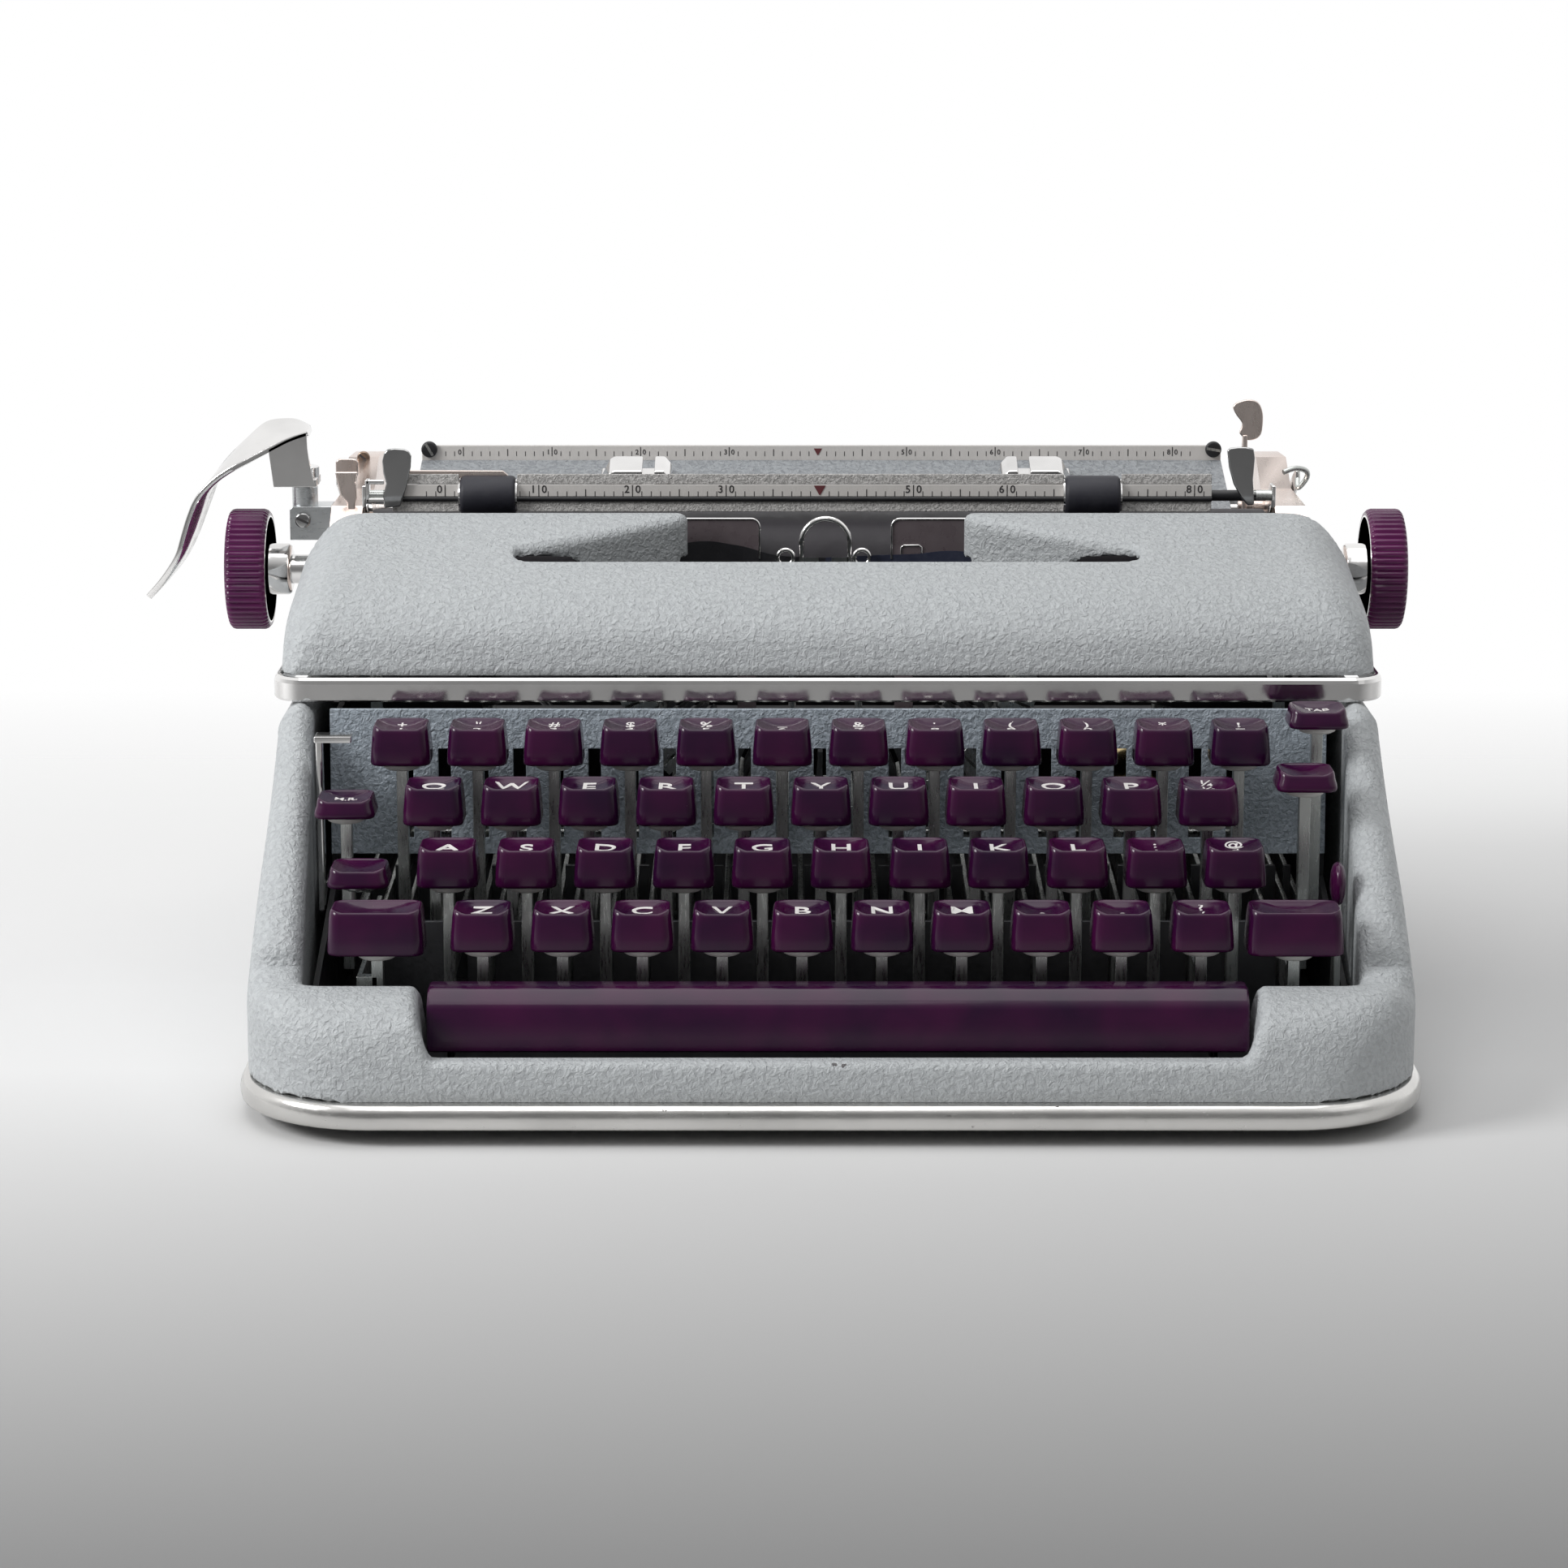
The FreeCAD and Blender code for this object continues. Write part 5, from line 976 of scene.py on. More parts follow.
def make_space_bar(s):
    """The long bar: flat front, lighter bevel and rounded ends, on its two arms."""
    front, rear, floor, top = s.bar_front, s.bar_rear, s.bar_floor, s.bar_top
    left, right = -s.bar_left, s.bar_right
    outline = [(rear, floor), (rear, top - 1.0), (rear - 0.4, top - 0.3), (rear - 1.2, top),
               (front + 6.2, top), (front + 5.3, top - 0.12), (front + 4.6, top - 0.5),
               (front + 2.6, top - 2.0), (front + 1.9, top - 2.7), (front + 1.4, top - 3.5),
               (front + 1.1, top - 4.6), (front + 0.1, floor + 1.4), (front + 0.2, floor + 0.5),
               (front + 0.8, floor)]
    middle = Vector(((front + rear) / 2, (floor + top) / 2))
    rings = []
    ends = ((0, 0.86), (0.12, 0.94), (0.5, 0.985), (1.2, 1.0))
    for gone, grow in ends + tuple((right - left - g, k) for g, k in reversed(ends)):
        rings.append([(left + gone, middle.x + (y - middle.x) * grow, middle.y + (z - middle.y) * grow)
                      for y, z in outline])
    make("space_bar_moulding", loft(rings), "key", "spacing", ["space_bar"], angle=24)
    arms = [lathe([(0, 1.2), (251, 1.2)], (-125.6, 100, 11), "X", 16)]
    for x in (-90, 90.5):
        arms.append(block(x - 0.6, x + 0.6, 20.6, 26.2, 14.6, 18.8))
        arms.append(plate_x([(20.6, 14.6), (102, 9.4), (102, 12.6), (20.6, 18.6)], x - 0.6, x + 0.6))
    make("space_bar_arms", merged(arms), "dark_steel", "spacing", [], 0.15)


# Small levers beside the keyboard

def make_small_levers():
    """The tab set lever at the left and the ribbon selector at the right."""
    dress("tab_set_lever", "chrome", 0.5)
    low, high = cad("ribbon_selector")
    x, y = (low.x + high.x) / 2, 55.6
    outline = [(y - 2, 14), (y + 3, 14), (y + 4, 20), (y + 1.8, 47), (y - 1.8, 47), (y - 3, 20)]
    make("selector_blade", plate_x(outline, x - 0.8, x + 0.8), "steel", "selector", ["ribbon_selector"], 0.2)
    grip = [(-0.5, 1.4), (0.4, 3), (2.5, 4.2), (5, 4.5), (7.5, 4.1), (9.2, 2.9), (9.9, 1.2)]
    points, faces = lathe(grip, (0, 0, 0), "Z", 28)
    points = [(x + a * 0.42, y + b, 45.2 + c) for a, b, c in points]
    make("selector_grip", (points, faces), "key", "selector", angle=60)


# Type basket, card holders and ribbon

def make_type_basket():
    """The segment and typebars, the levers' shaft and combs, and the slotted panel behind the keys."""
    dress("type_segment", "dark_steel")
    dress("typebars", "steel", 0.12)
    dress("centre_typebar", "steel", 0.12)
    dress("lever_shaft", "steel")
    dress("lever_combs", "dark_steel", 0.15)
    dress("key_panel", "panel", 0.2)


def make_card_holders():
    """Two thin holders with bright edges, the type guide's loop and the bracket they stand on."""
    rear = cad("card_holders")[1].y
    front = rear - 0.9
    cards, edges = [], []
    corner = 2.2
    for side in (-1, 1):
        near, far, floor, top = 17.8 * side, 45 * side, 108.7, 119.6
        arch = [(far, top)]
        arch += [(near + side * corner * (1 - math.sin(a)), top - corner * (1 - math.cos(a)))
                 for a in (math.radians(15 * i) for i in range(7))]
        cards.append(plate_y(arch + [(near, floor), (far, floor)], front, rear))
        rim = [(x, front - 0.1, z) for x, z in arch + [(near, floor)]]
        edges.append(tube(rim, 0.32, 8))
        leg = sorted((near + side, near + 6 * side))
        cards.append(block(leg[0], leg[1], front, rear, 64, floor + 1))
    cards.append(block(-23.8, -4, 184.3, rear, 60, 64))
    cards.append(block(4, 23.8, 184.3, rear, 60, 64))
    make("card_plates", merged(cards), "card", "machine", ["card_holders"], 0.15)
    window = [(20.4, 109.4), (20.4, 111.9), (21.1, 112.4), (25.2, 112.4), (25.9, 111.9), (25.9, 109.4)]
    edges.append(tube([(x, front - 0.1, z) for x, z in window], 0.28, 8))
    turns = [math.pi * i / 24 for i in range(25)]
    bow = [(6.5 * math.cos(a), front, 113.1 + 6.5 * math.sin(a)) for a in turns]
    wire = [(18.8, front, 104), (8, front, 104), (6.7, front, 106), (6.5, front, 110)] + bow \
        + [(-6.5, front, 110), (-6.7, front, 106), (-8, front, 104), (-18.8, front, 104)]
    edges.append(tube(wire, 0.78, 12))
    for x in (-4, 3.7):
        edges.append(block(x - 2.1, x + 2.1, front - 1.2, front - 0.2, 103.5, 109.3))
    make("type_guide", merged(edges), "chrome", "machine", angle=50)


def make_vibrator():
    """The two slim arms that hold the ribbon, each with an open ring at its head, on their cross bar."""
    y = cad("ribbon_vibrator")[0].y
    arms, rings = [], []
    for side in (-1, 1):
        a, b = sorted((8 * side, 14 * side))
        arms.append(block(a, b, y, y + 1, 86, 106.6))
        c, d = sorted((8 * side, 10 * side))
        arms.append(block(c, d, y, y + 1, 66, 87))
        loop = [(10.3 * side - 0.5 + 2.1 * math.cos(t), y + 0.5, 109.3 + 2.1 * math.sin(t))
                for t in (math.radians(-75 + 15 * i) for i in range(24))]
        rings.append(tube(loop, 0.6, 10))
    arms.append(block(-14, 14, y, y + 1, 83, 87))
    make("vibrator_arms", merged(arms), "chrome", "vibrator", ["ribbon_vibrator"], 0.25)
    make("vibrator_rings", merged(rings), "chrome", "vibrator", angle=60)


def make_ribbon():
    """The ribbon, in two lengths that meet in the vibrator: flat on each spool, bowed towards the middle."""
    wide, thick = 12.7, 0.18
    for side, paint in ((-1, "ribbon"), (1, "navy")):
        crest = 107.4 if side < 0 else 105.0
        run = [(88 * side, 167.4, 98.4), (62 * side, 175.6, 101.8), (37 * side, 183.2, crest),
               (24 * side, 186.4, crest - 1.2), (13 * side, 187.5, 103.3), (0, 187.7, 102.6)]
        run = curve_through(run, 10)
        rings = []
        for i, (x, y, z) in enumerate(run):
            wave = 0.25 * math.sin(i * 0.9)
            section = ((0, 0), (0.25, 0.2 + wave), (0.5, 0.3 + wave), (0.75, 0.2), (1, 0), (1, thick),
                       (0.75, thick + 0.2), (0.5, thick + 0.3 + wave), (0.25, thick + 0.2 + wave), (0, thick))
            rings.append([(x, y + bow, z + (share - 0.5) * wide) for share, bow in section])
        name = "ribbon_left" if side < 0 else "ribbon_right"
        cloth = make(name, loft(rings), paint, None, ["ribbon"], angle=50)
        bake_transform(cloth)
    dress("ribbon_spool_left", "dark_steel", 0.2)
    dress("ribbon_spool_right", "dark_steel", 0.2)


# Frame

def make_frame():
    """The frame with what it carries: hinge pins, bell, spring drum and the carriage's rail."""
    dress("main_frame", "black")
    dress("cover_hinge_pins", "steel", 0.1)
    dress("margin_bell", "brass")
    dress("spring_drum", "dark_steel", 0.4)
    dress("carriage_rail", "steel")


# Carriage

def make_carriage_frame():
    """The end plates and channel with their screws."""
    dress("carriage_frame", "plate", 0.8)
    heads, slots = screws((-124.0, 201.6, 117.2, 2.2, 20), (-130.6, 201.6, 116.5, 2.0, 65),
                          (127, 201.6, 117, 2.2, -30), (-130.3, 250, 127.9, 1.8, 40))
    make("end_plate_screws", heads, "screw", "carriage", angle=50)
    make("end_plate_screw_slots", slots, "ink", "carriage")


def make_platen(s):
    """The rubber roller on its shaft, with bright caps at its ends."""
    low, high = cad("platen")
    y, z, r = s.platen_depth, s.platen_height, s.platen_radius
    left, right = -123.8, 120.3
    profile = [(left, r - 0.8), (left + 0.3, r - 0.2), (left + 1, r),
               (right - 1, r), (right - 0.3, r - 0.2), (right, r - 0.8)]
    roll = lathe(profile, (0, y, z), "X", 96)
    make("platen_roll", roll, "platen", "platen_unit", ["platen"], angle=50)
    shaft = [lathe([(low.x, 4), (high.x, 4)], (0, y, z), "X", 32)]
    shaft += [lathe([(x - 0.4, 9), (x - 0.2, 13.5), (x + 0.2, 13.5), (x + 0.4, 9)], (0, y, z), "X", 48)
              for x in (left - 0.2, right + 0.2)]
    make("platen_shaft", merged(shaft), "chrome", "platen_unit", angle=40)


def make_knobs(s):
    """The two ribbed knobs, hollow on their inner sides round a bright hub."""
    y, z, r = s.platen_depth, s.platen_height, s.knob_radius

    def ribbed(along, radius, angle):
        if radius < r - 0.9:
            return radius
        return radius - 0.55 * (0.5 + 0.5 * math.cos(s.ribs * angle)) ** 2

    hubs = []
    for side, node in ((-1, "left_knob"), (1, "right_knob")):
        low, high = cad(node)
        outer, inner = (low.x, -152) if side < 0 else (high.x, 148)
        out = -side
        shape = [(outer + out * 0.9, 0.4), (outer + out * 0.8, 6), (outer + out * 0.25, 9), (outer, 11.5),
                 (outer, 14.4), (outer + out * 0.3, 15.7), (outer + out * 0.9, r - 0.2),
                 (outer + out * 1.7, r), (inner - out * 1.5, r), (inner - out * 0.7, r - 0.3),
                 (inner, r - 1.0), (inner, 14.2), (inner - out * 0.6, 13.7), (inner - out * 4, 13.3),
                 (inner - out * 5, 12.4), (inner - out * 5, 6.6)]
        body = lathe(shape, (0, y, z), "X", s.ribs * 8, ribbed)
        make(node + "_wheel", body, "knob", "platen_unit", [node], angle=50)
        hub = [(inner - out * 5, 7), (inner + out * 5.2, 7), (inner + out * 5.8, 6.5), (inner + out * 6, 5.6),
               (inner + out * 6, 4.02)]
        hubs.append(lathe(hub, (0, y, z), "X", 40))
        hubs.append(lathe([(inner + out * 0.1, 14.6), (inner - out * 0.4, 15.0), (inner - out * 0.4, 14.1),
                           (inner + out * 0.1, 14.2)], (0, y, z), "X", 96))
    make("knob_hubs", merged(hubs), "chrome", "platen_unit", angle=40)


def make_feed():
    """The small rubber rollers under the platen."""
    dress("rear_feed_rollers", "rubber", 0.3)
    dress("front_feed_rollers", "rubber", 0.3)


# Where the two printed scales start, the distance between their ticks, their last number and their middle
SCALE_ZERO, UNIT, LAST, MIDDLE = -103.1, 2.54, 80, 40


def scale_ticks(spans, y, level, tall):
    """Ticks of a printed scale on a face that looks forward, longer at fives and tens."""
    ticks = []
    for i in range(-2, LAST + 3):
        x = SCALE_ZERO + UNIT * i
        if not any(a + 0.2 < x < b - 0.2 for a, b in spans) or i == MIDDLE:
            continue
        reach = tall[2] if i % 10 == 0 else tall[1] if i % 5 == 0 else tall[0]
        wide = 0.13 if i % 5 == 0 else 0.10
        ticks.append(block(x - wide, x + wide, y - 0.05, y + 0.02, level, level + reach))
    return ticks


def scale_numbers(spans, y, level, size):
    """The tens of a scale, one figure on each side of the long tick."""
    words = []
    for i in range(0, LAST + 1, 10):
        x = SCALE_ZERO + UNIT * i
        if i == MIDDLE or not any(a + 2 < x < b - 2 for a, b in spans):
            continue
        gap = size * 0.52
        for figure, aside in zip(str(i), (-gap, gap)):
            words.append(printed(figure, x + aside, y, level, size))
    return words


def index_mark(y, top, size):
    """The triangle that points down at the middle of a scale."""
    x = SCALE_ZERO + UNIT * MIDDLE
    half = size * 0.62
    outline = [(x - half, top), (x + half, top), (x + 0.12, top - size), (x - 0.12, top - size)]
    return plate_y(outline, y - 0.07, y)


def make_table():
    """The sloping paper table and its printed scale."""
    dress("paper_table", "table", 0.35)
    low, high = cad("table_scale")
    face = block(low.x, high.x, low.y, high.y, low.z, high.z)
    make("table_scale_plate", face, "scale", "carriage", ["table_scale"], 0.3)
    y, spans = low.y, ((low.x + 4, high.x - 6),)
    ticks = scale_ticks(spans, y, high.z - 3.1, (1.35, 2.0, 2.6))
    words = scale_numbers(spans, y, high.z - 2.0, 2.0)
    make("table_scale_marks", merged(ticks + words), "ink", "carriage")
    make("table_scale_index", index_mark(y - 0.05, high.z - 0.9, 1.9), "red", "carriage")
    heads, slots = screws((low.x + 2.2, y, 128.4, 2.3, 60), (high.x - 2.2, y, 128.4, 2.3, 10))
    make("table_screws", heads, "black", "carriage", angle=50)
    make("table_screw_slots", slots, "steel", "carriage")


def make_paper_guides():
    """The two sliding paper guides: bright folded plates with a slanting outer end and a gap between."""
    for node, body, side in (("left_paper_guide", "guide_left", -1), ("right_paper_guide", "guide_right", 1)):
        low, high = cad(node)
        outer = low.x if side < 0 else high.x
        parts = []
        shapes = ([(0, 0), (12.4, 0), (12.4, 6.6), (4.6, 6.6), (3.2, 6.0)],
                  [(15.8, 0), (21, 0), (20.4, 4.6), (18.6, 6.6), (15.8, 6.6)])
        for shape in shapes:
            rings = []
            for y, up in ((low.y + 4, 0), (low.y + 14, 3.0)):
                rings.append([(outer - side * a, y, low.z + 1.6 + up + b) for a, b in shape])
            parts.append(loft(rings))
        a, b = sorted((outer - side * 0.4, outer - side * 20.6))
        foot = [(low.y, low.z), (low.y + 20, low.z + 6), (low.y + 20, low.z + 7), (low.y, low.z + 1)]
        parts.append(plate_x(foot, a, b))
        make(node + "_plates", merged(parts), "chrome", body, [node], 0.55, 30, 3)


# Outlines (x, z) of the polished ears at the bail's ends
LEFT_EAR = [(-119.4, 136.2), (-118.4, 137.3), (-116.5, 137.6), (-113.9, 137.4), (-112.5, 136.7),
            (-112.0, 135.5), (-112.2, 132.5), (-113.5, 126.6), (-115.2, 121.7), (-119.7, 121.3),
            (-119.8, 124.5), (-119.0, 128.0), (-119.7, 130.8), (-119.9, 134.2)]
RIGHT_EAR = [(108.6, 137.0), (109.4, 137.7), (111.5, 137.9), (113.5, 137.9), (115.8, 137.5), (116.2, 134.9),
             (115.8, 129.1), (116.3, 122.2), (114.5, 122.0), (112.6, 124.1), (110.5, 127.9), (109.2, 132.4)]


def make_bail(s):
    """The paper bail: rod, textured strips with the scale between them, side arms and polished ears."""
    y, rod_height = s.bail_depth, s.bail_height
    spans = ((-117.5, -99.3), (-83.6, 64.7), (80.3, 104.8))
    bands, faces = [], []
    for a, b in spans:
        bands.append(plate_x([(y - 1.8, 127.6), (y - 0.6, 127.6), (y - 0.6, 130.3), (y - 1.5, 130.3)], a, b))
        bands.append(plate_x([(y - 2.0, 120.1), (y - 0.6, 120.1), (y - 0.6, 123.0), (y - 1.6, 123.0)], a, b))
        faces.append(block(a, b, y - 2.1, y - 1.1, rod_height, 127.5))
    make("bail_bands", merged(bands), "band", "bail", ["paper_bail"], 0.25)
    make("bail_scale", merged(faces), "scale", "bail", [], 0.12)
    front = y - 2.1
    ticks = scale_ticks(spans, front, 124.35, (1.35, 1.95, 3.1))
    words = scale_numbers(spans, front, 126.2, 2.9)
    make("bail_scale_marks", merged(ticks + words), "ink", "bail")
    make("bail_index", index_mark(front - 0.05, 127.3, 2.6), "red", "bail")
    rod = [lathe([(-120, 1.5), (117, 1.5)], (0, y, rod_height), "X", 24),
           lathe([(-117.5, 0.75), (104.8, 0.75)], (0, y - 1.9, 123.6), "X", 16)]
    make("bail_rods", merged(rod), "black", "bail", angle=50)
    sides, pins = [], []
    outline = [(196, 121.3), (202, 121.3), (216, 108), (222, 108), (222, 116), (216, 117), (202, 127.3),
               (196, 127.3)]
    for a, b, pin in ((-125.6, -124.5, -1), (121.0, 122.1, 1)):
        sides.append(plate_x(outline, a, b))
        start, end = (a + 1, a - 4) if pin < 0 else (a, a + 5)
        pins.append(lathe([(start, 1.5), (end, 1.5)], (0, 218, 112), "X", 20))
    for a, b in ((-125.6, -118), (115, 122.1)):
        pins.append(lathe([(a, 1.5), (b, 1.5)], (0, y, rod_height), "X", 20))
    for z in (123.2, 128.2):
        sides.append(block(-124.6, -119.6, y - 2.6, y - 1.0, z - 0.6, z + 0.6))
    sides.append(block(-124.8, -123.6, y - 2.6, y + 1, 122.6, 128.8))
    make("bail_arms", merged(sides), "chrome", "bail", [], 0.3)
    make("bail_pins", merged(pins), "steel", "bail")
    ears = [plate_y(LEFT_EAR, y - 3.6, y - 2.4), plate_y(RIGHT_EAR, y - 3.6, y - 2.4)]
    make("bail_ears", merged(ears), "ear", "bail", [], 0.45, 40, 3)
    gauge = [(-113, 128.9), (-86, 128.9), (-86.1, 129.8), (-87.5, 131.0), (-113, 131.1)]
    make("bail_gauge_end", plate_y(gauge, y + 0.2, y + 1.0), "plate", "bail", [], 0.25)
    wheels, rims = [], []
    for x in (-91.5, 72.5):
        half = 7.5
        wheels.append(lathe([(x - half, 3.4), (x - half, 4.6), (x - half + 0.5, 5.2), (x - half + 1.1, 5.4),
                             (x + half - 1.1, 5.4), (x + half - 0.5, 5.2), (x + half, 4.6), (x + half, 3.4)],
                            (0, y, rod_height), "X", 48))
        for end, out in ((x - half, -1), (x + half, 1)):
            rims.append(lathe([(end - out * 0.2, 1.7), (end - out * 0.1, 4.5), (end + out * 0.45, 4.3),
                               (end + out * 0.6, 3.4), (end + out * 0.6, 1.7)], (0, y, rod_height), "X", 36))
    make("bail_wheels", merged(wheels), "rubber", "bail_wheels", ["bail_rollers"], angle=50)
    make("bail_wheel_caps", merged(rims), "chrome", "bail_wheels", angle=50)


def lever_arm():
    """The return lever's arm: a sheet that leaves the upright plate's top, arches over and twists down."""
    front, thick = 198.5, 1.8
    near = [(-140.4, 142.0, 0), (-143.5, 141.0, 0), (-146.5, 139.8, 0), (-151, 137.5, 0),
            (-157, 134.4, 0), (-162, 131.9, 0), (-167, 128.5, 0), (-171.5, 123.6, 0.4),
            (-173.9, 118.5, 0.5), (-175.7, 113, 0.5), (-177.5, 107.5, 0.6), (-181.7, 101.2, 2.4),
            (-186, 96.2, 4.8)]
    far = [(-140.7, 142.4, 11), (-143.8, 143.9, 11), (-147.4, 144.3, 11), (-152.8, 143.4, 11),
           (-158, 139.1, 11), (-163.2, 134, 11), (-166.6, 129.4, 11), (-168.8, 124, 10.5),
           (-171, 118.5, 10.5), (-173.2, 113, 10), (-176.1, 107.5, 9.4), (-181, 101.4, 8.6),
           (-185.8, 96.4, 8)]
    sides = [curve_through([(x, z, depth) for x, z, depth in line], 4) for line in (near, far)]
    rings = []
    last = len(sides[0]) - 1
    for i, (a, b) in enumerate(zip(*sides)):
        before, after = sides[0][max(i - 1, 0)], sides[0][min(i + 1, last)]
        run = math.hypot(after[0] - before[0], after[1] - before[1])
        dx, dz = -(after[1] - before[1]) / run * thick, (after[0] - before[0]) / run * thick
        edge = 0.14

        def at(share, down):
            x, z, depth = (p + (q - p) * share for p, q in zip(a, b))
            return (x + dx * down, front + depth, z + dz * down)

        rings.append([at(0, edge * 2), at(0.015, edge * 0.6), at(edge * 0.4, 0), at(0.35, -0.05),
                      at(0.65, -0.05), at(1 - edge * 0.4, 0), at(0.985, edge * 0.6), at(1, edge * 2),
                      at(1, 1 - edge * 2), at(1 - edge * 0.4, 1), at(0.5, 1), at(edge * 0.4, 1),
                      at(0, 1 - edge * 2)])
    return loft(rings)


# Where the return lever's upright pin stands in plan
RETURN_PIN = (-142, 205, 0)


def make_return_lever():
    """The bright return lever with the cap of its pin, and the bracket with its slotted screw."""
    face = [(-149.8, 126.6), (-138.4, 126.6), (-138.7, 127.6), (-139.2, 129.8), (-139.9, 133),
            (-140.4, 137.2), (-140.5, 141.6), (-143.5, 140.6), (-146.5, 139.3), (-149, 138), (-151, 136.9)]
    collar = [(126.6, 3.2), (126.6, 4.0), (131.4, 4.0), (131.6, 3.8), (131.6, 3.1)]
    parts = [plate_y(face, 198.5, 200.3), block(-148.9, -138.2, 199.2, 210.4, 126.6, 128.6),
             lathe(collar, RETURN_PIN, "Z", 32)]
    make("return_lever_plate", merged(parts), "chrome", "line_lever", ["return_lever"], 0.35, 40, 3)
    make("return_lever_arm", lever_arm(), "chrome", "line_lever", angle=60)
    make("return_pin_cap", lathe([(129.6, 1.4), (129.6, 3.0), (130.2, 2.9), (130.5, 2.2), (130.5, 0.01)],
                                 RETURN_PIN, "Z", 32), "screw", "carriage", angle=50)
    low, high = cad("lever_bracket")
    face = [(low.x, low.z), (high.x, low.z), (high.x, 121), (low.x + 0.8, 121), (low.x, 120.2)]
    parts = [plate_y(face, low.y, high.y), lathe([(120.6, 3.5), (126.0, 3.5), (126.3, 3.2), (126.3, 0.01)],
                                                 RETURN_PIN, "Z", 36)]
    make("bracket_block", merged(parts), "satin", "carriage", ["lever_bracket"], 0.4, 40, 3)
    head, slot = screw(-142.2, low.y, 117.3, 2.1, 25)
    make("bracket_screw", head, "ear", "carriage", angle=50)
    make("bracket_screw_slot", slot, "ink", "carriage")


def make_release_levers():
    """The carriage release tab with its cross shaft, the wire at the right and the paper release tab."""
    low, high = cad("carriage_release_levers")
    left, right = -134.9, 131.4
    y, z = 258, 112
    parts = [lathe([(low.x, 1.5), (high.x, 1.5)], (0, y, z), "X", 20)]
    outline = [(y - 2.5, z - 2.5), (y + 2.5, z - 2.5), (y + 2.5, z + 2.5), (232, 127), (229, 127), (229, 123)]
    parts += [plate_x(outline, left - 1.2, left), plate_x(outline, right, right + 1.2)]
    make("release_levers", merged(parts), "chrome", "carriage_release", ["carriage_release_levers"], 0.35)
    path = curve_through([(132.0, 230, 125), (131.9, 227, 122.5), (134.0, 225.6, 125.4),
                          (133.6, 224.2, 127.6), (130.4, 222.6, 128.5), (127.0, 221.2, 127.6)], 8)
    make("release_wire", tube(path, 0.75, 12), "steel", "carriage_release", angle=60)
    tab = [(-136.1, 125.4), (-136.1, 129.3), (-135.5, 130.1), (-134.4, 130.3), (-131.4, 130.3),
           (-130.2, 130.0), (-129.8, 129.2), (-129.9, 125.4)]
    make("release_tab", plate_y(tab, 229, 230.2), "plate", "carriage_release", [], 0.4, 40, 3)
    lug = [(-130.0, 118.5), (-130.2, 122.0), (-132.0, 124.1), (-132.8, 127.8), (-133.3, 130.4),
           (-127.1, 130.4), (-127.6, 127.4), (-127.5, 123.2), (-128.0, 121.7), (-128.0, 118.5)]
    make("release_lug", plate_y(lug, 200.9, 202.1), "plate", "carriage", [], 0.4, 40, 3)
    low, high = cad("paper_release_lever")
    x, z = high.x - 4.8, high.z - 29.8
    comma = curve_through([(x - 1.6, z + 20.4), (x + 0.2, z + 18.7), (x + 2.4, z + 18.6), (x + 4.2, z + 19.8),
                           (x + 4.8, z + 22), (x + 4.8, z + 26), (x + 3.6, z + 28.9), (x + 1.0, z + 29.8),
                           (x - 2.0, z + 29.2), (x - 3.5, z + 27.8), (x - 2.6, z + 25.6), (x - 0.9, z + 23.2),
                           (x - 1.4, z + 21.2)], 4)
    blade = [(227, 114), (233, 114), (233, 120), (230.5, 137), (228.5, 137), (227, 120)]
    parts = [plate_y(comma, 228.8, 230.2), plate_x(blade, x - 0.7, x + 0.7)]
    make("paper_release_finger", merged(parts), "plate", "paper_release", ["paper_release_lever"], 0.35,
         40, 3)


# Stage

def floor_paint():
    """Pale paper with painted shade that greys it towards the viewer, fading into the white surroundings
    behind the machine.
    """
    material, shader, add, link = graph("floor_paper")
    place = add("SeparateXYZ", {0: add("TexCoord").outputs["Object"]})
    # Painted shade: the paper darkens towards the viewer.
    near = ramp(add, place.outputs["Y"], -0.40, -0.08)
    link(blend_colour(add, near, (0.245, 0.245, 0.245), (0.84, 0.84, 0.84)), shader.inputs["Base Color"])
    shader.inputs["Roughness"].default_value = 0.7
    link(bump(add, noise(add, 300, 2), 0.00005, 0.1), shader.inputs["Normal"])
    clear = add("BsdfTransparent")
    mix = add("MixShader", {0: ramp(add, place.outputs["Y"], 0.0, 0.42)})
    link(shader.outputs[0], mix.inputs[1])
    link(clear.outputs[0], mix.inputs[2])
    out = next(n for n in material.node_tree.nodes if n.type == "OUTPUT_MATERIAL")
    link(mix.outputs[0], out.inputs["Surface"])
    return material


def surroundings():
    """White where the camera looks, brighter above and behind in mirrors, and an even dim light elsewhere."""
    world = bpy.data.worlds.new("surroundings")
    world.use_nodes = True
    add, link = node_tools(world.node_tree)
    glow = world.node_tree.nodes["Background"]
    glow.inputs["Color"].default_value = (1, 1, 1, 1)
    dimmest = 0.22
    rays = add("LightPath")
    way = add("SeparateXYZ", {0: add("TexCoord").outputs["Generated"]})
    height = {0: way.outputs["Z"], 1: 0.8, 2: way.outputs["Y"]}
    lean = add("Math", height, operation="MULTIPLY_ADD").outputs[0]
    bright = ramp(add, lean, -0.7, 0.5, dimmest, 1)
    mirrored = add("Math", {0: rays.outputs["Is Glossy Ray"], 1: bright}, operation="MULTIPLY").outputs[0]
    level = add("Math", {0: rays.outputs["Is Camera Ray"], 1: mirrored}, operation="MAXIMUM").outputs[0]
    plain = add("Math", {0: level, 1: dimmest}, operation="MAXIMUM").outputs[0]
    link(plain, glow.inputs["Strength"])
    return world


